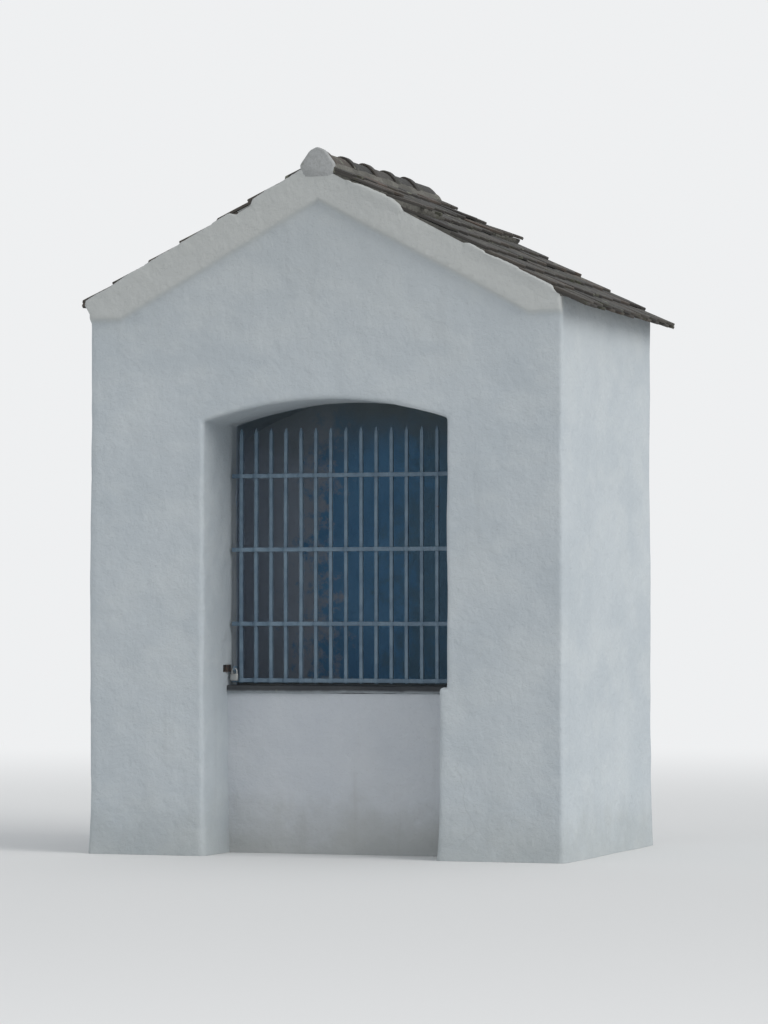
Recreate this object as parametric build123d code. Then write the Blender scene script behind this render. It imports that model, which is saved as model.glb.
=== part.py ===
from build123d import *
import math
import os

# Wayside shrine: a small plastered masonry niche chapel under a tiled saddle roof.
# Millimetres. X to the right seen from the front, Y to the back, Z up, ground at Z 0,
# origin in the middle of the masonry footprint.

# Masonry body
BODY_WIDTH = 2500
BODY_DEPTH = 1650
FRONT_WALL = 480
SIDE_WALL = 320
BACK_WALL = 300
GABLE_FOOT = 2500

# Front opening, from the ground to a flat segmental arch
OPENING_LEFT = -635
OPENING_RIGHT = 650
LOWER_JAMB_RIGHT = 612
REVEAL = 350
ARCH_SPRING = 2178
ARCH_RISE = 109

# Parapet, sill and niche floor
SILL_TOP = 850
SILL_THICK = 40
SILL_NOSE = 18
FLOOR_THICK = 30
FLOOR_TOP = SILL_TOP

# Barrel vault over the niche
VAULT_SPRING = 2150
VAULT_RISE = 250
VAULT_THICK = 120

# Raised plaster band along both rakes of the front gable
BAND_PROUD = 28
BAND_WIDTH = 150
BAND_FOOT = 170

# Roof: both slopes have one pitch, and the ridge stands just left of the middle
PITCH = 28.3
RIDGE_X = -14
RAKE_APEX = 3445
EAVE_LEFT = 45
EAVE_RIGHT = 125
VERGE_FRONT = 40
VERGE_BACK = 50

# Timber under the tiles
RAFTER_DEPTH = 100
RAFTER_WIDTH = 80
BATTEN_DEPTH = 30
BATTEN_WIDTH = 50
PLATE_WIDTH = 120
PLATE_HEIGHT = 100
NOTCH = 40
OUTER_LEAF = 180
RIDGE_BOARD_THICK = 30
RIDGE_BOARD_DEPTH = 170

# Plain tiles, in courses that step down at each tail
COURSES_LEFT = 7
COURSES_RIGHT = 8
TAIL_THICK = 40
HEAD_THICK = 26

# Half-round ridge tiles, each with a socket that laps over the tail of the next, on mortar
RIDGE_TILES = 5
RIDGE_TILE_LENGTH = 395
RIDGE_TILE_THICK = 12
RIDGE_RADIUS = 72
SOCKET_RADIUS = 85
SOCKET_DEPTH = 66
RIDGE_BED = 8
PLUG_THICK = 27
PLUG_HALF = 84
PLUG_CHEEK = 22
PLUG_BROW = 46
PLUG_BROW_HEIGHT = 80

# Iron gate: pointed square bars through punched rails, in one leaf hung on the right jamb
BAR = 18
BAR_PITCH = 81
BAR_COUNT = 15
BAR_MIDDLE = -4.5
BAR_FOOT = 860
BAR_TOP = 2160
BAR_POINT = 26
RAIL_HEIGHT = 22
RAIL_DEPTH = 22
EYE_SWELL = 18
RAIL_LEVELS = (875, 1163, 1541, 1917)
RAIL_LEFT = -622
RAIL_RIGHT = 590
GATE_SETBACK = 30

# Hinges: eyes on two of the rails turn on pintles driven into the jamb
HINGE_X = 620
HINGE_LEVELS = (1163, 1917)
EYE_RADIUS = 17
EYE_TANG = 12
PIN_RADIUS = 8
PIN_PLAY = 0.3
PIN_ABOVE = 16
COLLAR_RADIUS = 14
COLLAR_HEIGHT = 8
SHANK = 16
SHANK_TENON = 60

# Lock: a lug on the leaf and one on the left jamb, and a padlock hung in the leaf's lug
LUG_THICK = 6
LUG_X = -598
LUG_HOLE_Y = -33
LUG_HOLE_Z = 936
LUG_HOLE_RADIUS = 5
LUG_TOP = 948
EAR_THICK = 4
EAR_GAP = 10
EAR_LENGTH = 75
EAR_HEIGHT = 36
SHACKLE_RADIUS = 3.5
SHACKLE_SPREAD = 13.5
SHACKLE_SLACK = 0.5
LOCK_WIDTH = 42
LOCK_HEIGHT = 36
LOCK_THICK = 17
LOCK_TOP = 909

# Faces that follow from these sizes
FRONT = -BODY_DEPTH / 2
BACK = BODY_DEPTH / 2
LEFT = -BODY_WIDTH / 2
RIGHT = BODY_WIDTH / 2
NICHE_FRONT = FRONT + FRONT_WALL
NICHE_BACK = BACK - BACK_WALL
NICHE_LEFT = LEFT + SIDE_WALL
NICHE_RIGHT = RIGHT - SIDE_WALL
PARAPET_FACE = FRONT + REVEAL
GATE_Y = PARAPET_FACE + GATE_SETBACK
VERGE_FRONT_Y = FRONT - VERGE_FRONT
VERGE_BACK_Y = BACK + VERGE_BACK
SLOPE = math.tan(math.radians(PITCH))
ALONG = math.cos(math.radians(PITCH))
ACROSS = math.sin(math.radians(PITCH))


def block(x0, x1, y0, y1, z0, z1):
    """A rectangular solid between two corners."""
    box = Box(x1 - x0, y1 - y0, z1 - z0)
    return Pos((x0 + x1) / 2, (y0 + y1) / 2, (z0 + z1) / 2) * box


def prism(outline, y0, y1):
    """Solid between y0 and y1 of a closed outline of (x, z) points or edges."""
    if isinstance(outline[0], tuple):
        outline = Polyline(*outline, close=True).edges()
    section = Plane.XZ.offset(-y1) * make_face(outline)
    return extrude(section, amount=y1 - y0, dir=(0, -1, 0))


def rake(x):
    """Height at x of the plane that the tiles lie on."""
    return RAKE_APEX - abs(x - RIDGE_X) * SLOPE


def on_slope(side, s, n):
    """Point s down the slope from the ridge and n above the tiles' bed; side is -1 or 1."""
    x = RIDGE_X + side * (s * ALONG + n * ACROSS)
    z = RAKE_APEX - s * ACROSS + n * ALONG
    return (x, z)


def front_pier(x0, x1, z0, z1):
    """Stretch of the front wall beside the opening."""
    return block(x0, x1, FRONT, NICHE_FRONT, z0, z1)


def hinge_pier():
    """Right pier above the sill, with pockets for the shanks of the pintles."""
    pier = front_pier(OPENING_RIGHT, RIGHT, SILL_TOP, ARCH_SPRING)
    for level in HINGE_LEVELS:
        pier -= pintle_shank(level)
    return pier


def front_arch():
    """Wall over the opening, cut below by the flat segmental arch."""
    middle = (OPENING_LEFT + OPENING_RIGHT) / 2
    outline = [
        Line((LEFT, ARCH_SPRING), (OPENING_LEFT, ARCH_SPRING)),
        ThreePointArc((OPENING_LEFT, ARCH_SPRING), (middle, ARCH_SPRING + ARCH_RISE), (OPENING_RIGHT, ARCH_SPRING)),
        Line((OPENING_RIGHT, ARCH_SPRING), (RIGHT, ARCH_SPRING)),
        Line((RIGHT, ARCH_SPRING), (RIGHT, GABLE_FOOT)),
        Line((RIGHT, GABLE_FOOT), (LEFT, GABLE_FOOT)),
        Line((LEFT, GABLE_FOOT), (LEFT, ARCH_SPRING)),
    ]
    return prism(outline, FRONT, NICHE_FRONT)


def gable(y0, y1):
    """Top of an end wall, up to the tiles' bed."""
    outline = [
        (LEFT, GABLE_FOOT),
        (RIGHT, GABLE_FOOT),
        (RIGHT, rake(RIGHT)),
        (RIDGE_X, RAKE_APEX),
        (LEFT, rake(LEFT)),
    ]
    return prism(outline, y0, y1)


def plate_top(side):
    """Top of a wall plate, notched into the rafters' feet."""
    x = side * (BODY_WIDTH / 2 - OUTER_LEAF)
    return rake(x) - (BATTEN_DEPTH + RAFTER_DEPTH) / ALONG + NOTCH


def side_wall(side):
    """Side wall: the outer leaf runs up to the tiles, the inner one is a ledge for the plate."""
    outer = side * BODY_WIDTH / 2
    leaf = side * (BODY_WIDTH / 2 - OUTER_LEAF)
    inner = side * (BODY_WIDTH / 2 - SIDE_WALL)
    ledge = plate_top(side) - PLATE_HEIGHT
    outline = [
        (inner, 0),
        (outer, 0),
        (outer, rake(outer)),
        (leaf, rake(leaf)),
        (leaf, ledge),
        (inner, ledge),
    ]
    return prism(outline, NICHE_FRONT, NICHE_BACK)


def niche_vault():
    """Flat barrel vault that springs from the side walls."""
    crown = VAULT_SPRING + VAULT_RISE
    half = (NICHE_RIGHT - NICHE_LEFT) / 2
    radius = (half ** 2 + VAULT_RISE ** 2) / (2 * VAULT_RISE)
    centre = crown - radius
    back = centre + math.sqrt((radius + VAULT_THICK) ** 2 - half ** 2)
    outline = [
        ThreePointArc((NICHE_LEFT, VAULT_SPRING), (0, crown), (NICHE_RIGHT, VAULT_SPRING)),
        Line((NICHE_RIGHT, VAULT_SPRING), (NICHE_RIGHT, back)),
        ThreePointArc((NICHE_RIGHT, back), (0, crown + VAULT_THICK), (NICHE_LEFT, back)),
        Line((NICHE_LEFT, back), (NICHE_LEFT, VAULT_SPRING)),
    ]
    return prism(outline, NICHE_FRONT, NICHE_BACK)


def verge_band(side):
    """Raised band under one verge; its foot turns level at the corner of the wall."""
    corner = side * BODY_WIDTH / 2
    turn = corner - side * BAND_FOOT
    drop = BAND_WIDTH / ALONG
    outline = [
        (RIDGE_X, RAKE_APEX),
        (corner, rake(corner)),
        (corner, rake(turn) - drop),
        (turn, rake(turn) - drop),
        (RIDGE_X, RAKE_APEX - drop),
    ]
    return prism(outline, FRONT - BAND_PROUD, FRONT)


def wall_plate(side):
    """Timber on the ledge of a side wall."""
    outer = side * (BODY_WIDTH / 2 - OUTER_LEAF)
    inner = outer - side * PLATE_WIDTH
    top = plate_top(side)
    return block(min(inner, outer), max(inner, outer), NICHE_FRONT, NICHE_BACK, top - PLATE_HEIGHT, top)


def ridge_board():
    """Board between the heads of the rafters."""
    top = RAKE_APEX - (BATTEN_DEPTH + 8) / ALONG
    half = RIDGE_BOARD_THICK / 2
    return block(RIDGE_X - half, RIDGE_X + half, NICHE_FRONT, NICHE_BACK, top - RIDGE_BOARD_DEPTH, top)


def rafters(side):
    """Three rafters of one slope, notched over the wall plate."""
    head = RIDGE_X + side * RIDGE_BOARD_THICK / 2
    foot = side * (BODY_WIDTH / 2 - OUTER_LEAF)
    over = BATTEN_DEPTH / ALONG
    under = (BATTEN_DEPTH + RAFTER_DEPTH) / ALONG
    outline = [
        (head, rake(head) - under),
        (head, rake(head) - over),
        (foot, rake(foot) - over),
        (foot, rake(foot) - under),
    ]
    first = NICHE_FRONT
    last = NICHE_BACK - RAFTER_WIDTH
    pieces = []
    for y in (first, (first + last) / 2, last):
        pieces.append(prism(outline, y, y + RAFTER_WIDTH) - wall_plate(side))
    return Compound(children=pieces)


def slope_length(side):
    """Length down one slope from the ridge line to the tip of the eave."""
    overhang = EAVE_LEFT if side < 0 else EAVE_RIGHT
    return abs(side * (BODY_WIDTH / 2 + overhang) - RIDGE_X) / ALONG


def battens(side):
    """Tile battens across the rafters of one slope, one at the head of each course."""
    count = COURSES_LEFT if side < 0 else COURSES_RIGHT
    gauge = slope_length(side) / count
    limit = BODY_WIDTH / 2 - OUTER_LEAF
    pieces = []
    for course in range(count):
        s = gauge * (course + 0.3)
        corners = [
            on_slope(side, s, -BATTEN_DEPTH),
            on_slope(side, s + BATTEN_WIDTH, -BATTEN_DEPTH),
            on_slope(side, s + BATTEN_WIDTH, 0),
            on_slope(side, s, 0),
        ]
        if max(abs(x) for x, z in corners) < limit:
            pieces.append(prism(corners, NICHE_FRONT, NICHE_BACK))
    return Compound(children=pieces)


def tiles(side):
    """Tile covering of one slope: every course lies on the one below and ends in a step."""
    count = COURSES_LEFT if side < 0 else COURSES_RIGHT
    length = slope_length(side)
    gauge = length / count
    outline = [on_slope(side, 0, 0), on_slope(side, length, 0)]
    for course in range(count):
        tail = length - course * gauge
        outline.append(on_slope(side, tail, TAIL_THICK))
        if course < count - 1:
            outline.append(on_slope(side, tail - gauge, HEAD_THICK))
    outline.append((RIDGE_X, RAKE_APEX + HEAD_THICK / ALONG))
    return prism(outline, VERGE_FRONT_Y, VERGE_BACK_Y)


def half_ring(outer, inner, y0, y1):
    """Half-round shell over the ridge between y0 and y1."""
    ring = Cylinder(outer, y1 - y0) - Cylinder(inner, y1 - y0)
    upper = Pos(0, 0, outer) * Box(3 * outer, 2 * (y1 - y0), 2 * outer)
    place = Pos(RIDGE_X, (y0 + y1) / 2, RAKE_APEX + RIDGE_BED)
    return place * ((Rot(X=90) * ring) & upper)


def ridge_tile(index):
    """Half-round tile; its socket faces the front and laps over the tail of the tile there."""
    inner = RIDGE_RADIUS - RIDGE_TILE_THICK
    first = VERGE_FRONT_Y + PLUG_THICK
    span = VERGE_BACK_Y - first - RIDGE_TILE_LENGTH
    start = first + index * span / (RIDGE_TILES - 1)
    lap = start + SOCKET_DEPTH
    socket = half_ring(SOCKET_RADIUS, SOCKET_RADIUS - RIDGE_TILE_THICK, start, lap)
    shoulder = half_ring(SOCKET_RADIUS, inner, lap, lap + RIDGE_TILE_THICK)
    body = half_ring(RIDGE_RADIUS, inner, lap + RIDGE_TILE_THICK, start + RIDGE_TILE_LENGTH)
    return socket + shoulder + body


def ridge_bedding():
    """Mortar under and inside the ridge tiles."""
    shoulder = SOCKET_RADIUS + 2
    level = RAKE_APEX + RIDGE_BED
    outline = [
        (RIDGE_X - shoulder, rake(RIDGE_X - shoulder) + 2),
        (RIDGE_X, RAKE_APEX + 2),
        (RIDGE_X + shoulder, rake(RIDGE_X + shoulder) + 2),
        (RIDGE_X + shoulder, level),
        (RIDGE_X - shoulder, level),
    ]
    front = VERGE_FRONT_Y + PLUG_THICK
    bed = prism(outline, front, VERGE_BACK_Y)
    narrow = RIDGE_RADIUS - RIDGE_TILE_THICK
    wide = SOCKET_RADIUS - RIDGE_TILE_THICK
    bed += ridge_core(narrow, front, VERGE_BACK_Y)
    bed += ridge_core(wide, front, front + SOCKET_DEPTH)
    return bed - tiles(-1) - tiles(1)


def ridge_plug():
    """Five-sided lump of mortar that closes the front end of the ridge."""
    half = []
    half.append((PLUG_HALF, rake(RIDGE_X + PLUG_HALF) - RAKE_APEX + 2))
    half.append((PLUG_HALF, PLUG_CHEEK))
    half.append((PLUG_BROW, PLUG_BROW_HEIGHT))
    right = [(RIDGE_X + x, RAKE_APEX + z) for x, z in half]
    left = [(RIDGE_X - x, RAKE_APEX + z) for x, z in reversed(half)]
    crown = (RIDGE_X, RAKE_APEX + RIDGE_BED + SOCKET_RADIUS)
    outline = [(RIDGE_X, RAKE_APEX + 2)] + right + [crown] + left
    plug = prism(outline, VERGE_FRONT_Y, VERGE_FRONT_Y + PLUG_THICK)
    return plug - tiles(-1) - tiles(1)


def ridge_core(radius, y0, y1):
    """Half-round run of mortar inside the ridge tiles."""
    core = Pos(RIDGE_X, (y0 + y1) / 2, RAKE_APEX + RIDGE_BED) * Rot(X=90) * Cylinder(radius, y1 - y0)
    below = block(RIDGE_X - 200, RIDGE_X + 200, y0, y1, RAKE_APEX - 200, RAKE_APEX + RIDGE_BED)
    return core - below


def bar_places():
    """Middles of the upright bars along X."""
    first = BAR_MIDDLE - BAR_PITCH * (BAR_COUNT - 1) / 2
    return [first + BAR_PITCH * i for i in range(BAR_COUNT)]


def bar_stock(x, z0, z1):
    """Plain length of square bar."""
    half = BAR / 2
    return block(x - half, x + half, GATE_Y - half, GATE_Y + half, z0, z1)


def gate_bars():
    """Upright bars, drawn out to a blunt point above the highest rail."""
    pieces = []
    for x in bar_places():
        shoulder = BAR_TOP - BAR_POINT
        root = Pos(x, GATE_Y, shoulder) * Rectangle(BAR, BAR)
        tip = Pos(x, GATE_Y, BAR_TOP) * Rectangle(BAR / 5, BAR / 5)
        pieces.append(bar_stock(x, BAR_FOOT, shoulder) + loft([root, tip]))
    return Compound(children=pieces)


def gate_rails():
    """Level rails, swelled and punched where the bars pass through."""
    pieces = []
    for level in RAIL_LEVELS:
        z0 = level - RAIL_HEIGHT / 2
        z1 = level + RAIL_HEIGHT / 2
        piece = block(RAIL_LEFT, RAIL_RIGHT, GATE_Y - RAIL_DEPTH / 2, GATE_Y + RAIL_DEPTH / 2, z0, z1)
        for x in bar_places():
            swell = extrude(RegularPolygon(EYE_SWELL, 8, rotation=22.5), amount=RAIL_HEIGHT)
            piece += Pos(x, GATE_Y, z0) * swell
        for x in bar_places():
            piece -= bar_stock(x, z0, z1)
        pieces.append(piece)
    return Compound(children=pieces)


def hinge_eye(level):
    """Forged eye at the end of a rail, round the pin of its pintle."""
    tang = block(RAIL_RIGHT, HINGE_X, GATE_Y - EYE_TANG / 2, GATE_Y + EYE_TANG / 2,
                 level - RAIL_HEIGHT / 2, level + RAIL_HEIGHT / 2)
    eye = Pos(HINGE_X, GATE_Y, level) * Cylinder(EYE_RADIUS, RAIL_HEIGHT)
    bore = Pos(HINGE_X, GATE_Y, level) * Cylinder(PIN_RADIUS + PIN_PLAY, RAIL_HEIGHT + 2)
    return tang + eye - bore


def pintle_shank(level):
    """Square shank of a pintle, from under its collar into the masonry."""
    top = level - RAIL_HEIGHT / 2 - PIN_PLAY - COLLAR_HEIGHT
    return block(HINGE_X - SHANK / 2, OPENING_RIGHT + SHANK_TENON, GATE_Y - SHANK / 2, GATE_Y + SHANK / 2,
                 top - SHANK, top)


def pintle(level):
    """Pintle: shank, collar that the eye rides on, and pin."""
    seat = level - RAIL_HEIGHT / 2 - PIN_PLAY
    pin_top = level + RAIL_HEIGHT / 2 + PIN_ABOVE
    collar = Pos(HINGE_X, GATE_Y, seat - COLLAR_HEIGHT / 2) * Cylinder(COLLAR_RADIUS, COLLAR_HEIGHT)
    pin = Pos(HINGE_X, GATE_Y, (seat + pin_top) / 2) * Cylinder(PIN_RADIUS, pin_top - seat)
    return pintle_shank(level) + collar + pin


def lug_hole(x0, x1, radius):
    """Round rod along X through the place where the shackle passes."""
    middle = Pos((x0 + x1) / 2, GATE_Y + LUG_HOLE_Y, LUG_HOLE_Z)
    return middle * Rot(Y=90) * Cylinder(radius, x1 - x0)


def gate_lock_lug():
    """Lug that stands on the lowest rail and reaches forward to the padlock."""
    rail_top = RAIL_LEVELS[0] + RAIL_HEIGHT / 2
    back = GATE_Y + RAIL_DEPTH / 2
    front = GATE_Y - RAIL_DEPTH / 2
    nose = GATE_Y + LUG_HOLE_Y - 12
    outline = [
        (back, rail_top),
        (back, LUG_TOP - 14),
        (back - 14, LUG_TOP),
        (nose, LUG_TOP),
        (nose, LUG_HOLE_Z - 11),
        (front, LOCK_TOP + 5),
        (front, rail_top),
    ]
    section = Plane.YZ.offset(LUG_X - LUG_THICK / 2) * make_face(Polyline(*outline, close=True).edges())
    lug = extrude(section, amount=LUG_THICK, dir=(1, 0, 0))
    return lug - lug_hole(LUG_X - 10, LUG_X + 10, LUG_HOLE_RADIUS)


def jamb_lock_lug():
    """Cranked strap on the left jamb whose ear stands beside the lug of the leaf."""
    plate_x = OPENING_LEFT + EAR_THICK
    ear_x = plate_x + EAR_GAP
    ear_back = GATE_Y + LUG_HOLE_Y + 12
    crank = ear_back - EAR_LENGTH / 2
    z0 = LUG_HOLE_Z - EAR_HEIGHT / 2
    z1 = LUG_HOLE_Z + EAR_HEIGHT / 2
    plate = block(OPENING_LEFT, plate_x, ear_back - EAR_LENGTH, crank, z0, z1)
    web = block(plate_x, ear_x, crank - EAR_THICK, crank, z0, z1)
    ear = block(ear_x - EAR_THICK, ear_x, crank, ear_back, z0, z1)
    return plate + web + ear - lug_hole(ear_x - 2 * EAR_THICK, ear_x + EAR_THICK, LUG_HOLE_RADIUS)


def padlock_shackle():
    """Six-sided bow through the lug of the leaf."""
    y = GATE_Y + LUG_HOLE_Y
    top = LUG_HOLE_Z - LUG_HOLE_RADIUS + SHACKLE_RADIUS + SHACKLE_SLACK
    left = LUG_X - SHACKLE_SPREAD
    right = LUG_X + SHACKLE_SPREAD
    spring = top - SHACKLE_SPREAD
    path = Line((left, y, LOCK_TOP), (left, y, spring))
    path += ThreePointArc((left, y, spring), (LUG_X, y, top), (right, y, spring))
    path += Line((right, y, spring), (right, y, LOCK_TOP))
    section = Plane(origin=(left, y, LOCK_TOP), z_dir=(0, 0, 1)) * RegularPolygon(SHACKLE_RADIUS, 6)
    return sweep(section, path=path)


def padlock_body():
    """Body of the padlock, rounded at its upright edges and below."""
    centre = Pos(LUG_X, GATE_Y + LUG_HOLE_Y, LOCK_TOP - LOCK_HEIGHT / 2)
    body = centre * Box(LOCK_WIDTH, LOCK_THICK, LOCK_HEIGHT)
    return fillet(body.edges().filter_by(Axis.Z), 5)


def masonry():
    """Walls, niche and parapet, from the ground up."""
    sill_under = SILL_TOP - SILL_THICK
    return {
        "front_pier_left": front_pier(LEFT, OPENING_LEFT, 0, ARCH_SPRING),
        "front_pier_right_lower": front_pier(LOWER_JAMB_RIGHT, RIGHT, 0, SILL_TOP),
        "front_pier_right_upper": hinge_pier(),
        "front_arch": front_arch(),
        "front_gable": gable(FRONT, NICHE_FRONT),
        "left_wall": side_wall(-1),
        "right_wall": side_wall(1),
        "back_wall": block(LEFT, RIGHT, NICHE_BACK, BACK, 0, GABLE_FOOT),
        "back_gable": gable(NICHE_BACK, BACK),
        "apron_wall": block(OPENING_LEFT, LOWER_JAMB_RIGHT, PARAPET_FACE, NICHE_FRONT, 0, sill_under),
        "sill": block(OPENING_LEFT, LOWER_JAMB_RIGHT, PARAPET_FACE - SILL_NOSE, NICHE_FRONT, sill_under, SILL_TOP),
        "niche_podium": block(NICHE_LEFT, NICHE_RIGHT, NICHE_FRONT, NICHE_BACK, 0, FLOOR_TOP - FLOOR_THICK),
        "niche_floor": block(NICHE_LEFT, NICHE_RIGHT, NICHE_FRONT, NICHE_BACK, FLOOR_TOP - FLOOR_THICK, FLOOR_TOP),
        "niche_vault": niche_vault(),
        "verge_band_left": verge_band(-1),
        "verge_band_right": verge_band(1),
    }


def roof():
    """Timber, tiles and ridge."""
    pieces = {
        "wall_plate_left": wall_plate(-1),
        "wall_plate_right": wall_plate(1),
        "ridge_board": ridge_board(),
        "rafters_left": rafters(-1),
        "rafters_right": rafters(1),
        "battens_left": battens(-1),
        "battens_right": battens(1),
        "tiles_left": tiles(-1),
        "tiles_right": tiles(1),
        "ridge_bedding": ridge_bedding(),
        "ridge_plug": ridge_plug(),
    }
    for index in range(RIDGE_TILES):
        pieces[f"ridge_tile_{index + 1}"] = ridge_tile(index)
    return pieces


def gate():
    """Iron gate leaf, its hinges and its lock."""
    return {
        "gate_rails": gate_rails(),
        "gate_bars": gate_bars(),
        "gate_hinge_eye_lower": hinge_eye(HINGE_LEVELS[0]),
        "gate_hinge_eye_upper": hinge_eye(HINGE_LEVELS[1]),
        "pintle_lower": pintle(HINGE_LEVELS[0]),
        "pintle_upper": pintle(HINGE_LEVELS[1]),
        "gate_lock_lug": gate_lock_lug(),
        "jamb_lock_lug": jamb_lock_lug(),
        "padlock_shackle": padlock_shackle(),
        "padlock_body": padlock_body(),
    }


os.makedirs("parts", exist_ok=True)
for name, shape in {**masonry(), **roof(), **gate()}.items():
    export_step(shape, f"parts/{name}.step")
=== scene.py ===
import math
import random

import bmesh
import bpy
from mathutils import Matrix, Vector, noise


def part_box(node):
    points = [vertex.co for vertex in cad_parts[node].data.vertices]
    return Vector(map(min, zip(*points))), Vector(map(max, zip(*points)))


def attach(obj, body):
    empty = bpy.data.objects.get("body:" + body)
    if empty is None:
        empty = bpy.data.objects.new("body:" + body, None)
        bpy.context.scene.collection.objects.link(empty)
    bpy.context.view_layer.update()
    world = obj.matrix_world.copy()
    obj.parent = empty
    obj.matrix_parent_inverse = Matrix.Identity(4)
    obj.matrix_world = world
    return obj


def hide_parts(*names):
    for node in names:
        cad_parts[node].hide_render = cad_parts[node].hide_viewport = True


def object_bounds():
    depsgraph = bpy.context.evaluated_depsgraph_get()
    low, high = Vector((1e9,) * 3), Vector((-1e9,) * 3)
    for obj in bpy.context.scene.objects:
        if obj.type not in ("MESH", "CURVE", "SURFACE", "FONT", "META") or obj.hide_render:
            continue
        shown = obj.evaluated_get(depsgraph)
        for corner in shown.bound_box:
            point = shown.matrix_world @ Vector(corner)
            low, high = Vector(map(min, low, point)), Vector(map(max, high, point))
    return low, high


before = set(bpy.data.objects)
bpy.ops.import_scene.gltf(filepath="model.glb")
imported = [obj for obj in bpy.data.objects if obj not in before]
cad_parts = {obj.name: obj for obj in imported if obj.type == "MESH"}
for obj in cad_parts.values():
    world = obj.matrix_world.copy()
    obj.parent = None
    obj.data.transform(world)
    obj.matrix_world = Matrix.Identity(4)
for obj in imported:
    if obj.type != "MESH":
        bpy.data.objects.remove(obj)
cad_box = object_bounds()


# Walls: brick and rubble under one coat of lime plaster, thrown on and rubbed by hand.
# The coat wraps the arrises in soft uneven rounds, spreads a little at the foot, and
# stands proud in a band along both rakes of the front gable.
WALL_LEFT, WALL_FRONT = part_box("front_pier_left")[0].x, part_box("front_pier_left")[0].y
WALL_RIGHT, WALL_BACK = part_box("back_wall")[1].x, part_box("back_wall")[1].y
PITCH = math.radians(28.3)
RIDGE_X, RIDGE_Z = -0.014, 3.445
JAMB_LEFT, JAMB_RIGHT, JAMB_RIGHT_LOW = -0.635, 0.650, 0.612
SPRING, SILL_LEVEL = 2.178, 0.850
NICHE_LOW = Vector((-0.930, -0.345, 0.820))
NICHE_HIGH = Vector((0.930, 0.525, 2.150))
COAT = 0.012


def rake(x):
    """Height at x of the plane that the tiles lie on."""
    return RIDGE_Z - abs(x - RIDGE_X) * math.tan(PITCH)


def arch(x0, x1, foot, rise, steps=24):
    """Points of a flat arch from (x0, foot) to (x1, foot)."""
    half = (x1 - x0) / 2
    radius = (half * half + rise * rise) / (2 * rise)
    middle, centre = (x0 + x1) / 2, foot + rise - radius
    sweep = math.asin(half / abs(radius)) * (1 if half > 0 else 1)
    points = []
    for step in range(steps + 1):
        turn = -sweep + 2 * sweep * step / steps
        points.append((middle + radius * math.sin(turn), centre + radius * math.cos(turn)))
    return points


def solid(name, outline, y0, y1):
    """Closed solid between y0 and y1 of an outline of (x, z) points."""
    count = len(outline)
    corners = [(x, y, z) for y in (y0, y1) for x, z in outline]
    faces = [tuple(range(count)), tuple(range(2 * count - 1, count - 1, -1))]
    for i in range(count):
        j = (i + 1) % count
        faces.append((i, count + i, count + j, j))
    mesh = bpy.data.meshes.new(name)
    mesh.from_pydata(corners, [], faces)
    bm = bmesh.new()
    bm.from_mesh(mesh)
    bmesh.ops.recalc_face_normals(bm, faces=bm.faces)
    bm.to_mesh(mesh)
    bm.free()
    piece = bpy.data.objects.new(name, mesh)
    bpy.context.collection.objects.link(piece)
    return piece


def carve(piece, *tools):
    """Cuts the tools out of a piece, then takes them away."""
    for tool in tools:
        cut = piece.modifiers.new("cut", "BOOLEAN")
        cut.operation = "DIFFERENCE"
        cut.solver = "EXACT"
        cut.object = tool
    shape = piece.evaluated_get(bpy.context.evaluated_depsgraph_get())
    mesh = bpy.data.meshes.new_from_object(shape)
    piece.modifiers.clear()
    piece.data = mesh
    for tool in tools:
        bpy.data.objects.remove(tool)


def soften(bm, width, steps, wanted, outward=True):
    """Rounds the chosen sharp edges; outward ones are arrises, the others inner corners."""
    edges = []
    for edge in bm.edges:
        if len(edge.link_faces) == 2 and edge.calc_face_angle(0) > 0.5:
            if edge.is_convex == outward and wanted(edge):
                edges.append(edge)
    bmesh.ops.bevel(bm, geom=edges, offset=width, offset_type="OFFSET", segments=steps,
                    profile=0.5, affect="EDGES", clamp_overlap=True)


def divide(bm, step, low, high):
    """Cuts the skin into a grid so that it can take the unevenness of hand work."""
    for axis in range(3):
        normal = Vector((0, 0, 0))
        normal[axis] = 1
        at = low[axis] + step * 0.37
        while at < high[axis]:
            everything = bm.verts[:] + bm.edges[:] + bm.faces[:]
            bmesh.ops.bisect_plane(bm, geom=everything, dist=1e-5, plane_co=normal * at, plane_no=normal)
            at += step


def unevenness(point, broad, mid, fine):
    """Height of hand-worked unevenness at a point, in metres."""
    high = broad * noise.noise(point * 1.3 + Vector((3.1, 7.7, 1.9)))
    high += mid * noise.noise(point * 4.7 + Vector((9.2, 0.4, 5.5)))
    return high + fine * noise.noise(point * 14.0 + Vector((2.6, 8.1, 4.2)))


def settle(bm, piece, sharp=0.9):
    """Writes the mesh back, shaded smooth but for its sharp edges."""
    long_faces = [face for face in bm.faces if len(face.verts) > 4]
    bmesh.ops.triangulate(bm, faces=long_faces)
    bmesh.ops.recalc_face_normals(bm, faces=bm.faces)
    for face in bm.faces:
        face.smooth = True
    for edge in bm.edges:
        edge.smooth = len(edge.link_faces) != 2 or edge.calc_face_angle(0) < sharp
    bm.to_mesh(piece.data)
    bm.free()


walls = solid("plastered_walls", [
    (WALL_LEFT, 0), (WALL_RIGHT, 0), (WALL_RIGHT, rake(WALL_RIGHT)),
    (RIDGE_X, RIDGE_Z), (WALL_LEFT, rake(WALL_LEFT))], WALL_FRONT, WALL_BACK)

opening = [(JAMB_LEFT, -0.1)] + arch(JAMB_LEFT, JAMB_RIGHT, SPRING, 0.109)
opening += [(JAMB_RIGHT, SILL_LEVEL), (JAMB_RIGHT_LOW, SILL_LEVEL), (JAMB_RIGHT_LOW, -0.1)]
opening_cut = solid("opening_cut", opening, WALL_FRONT - 0.1, NICHE_LOW.y)

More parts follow.
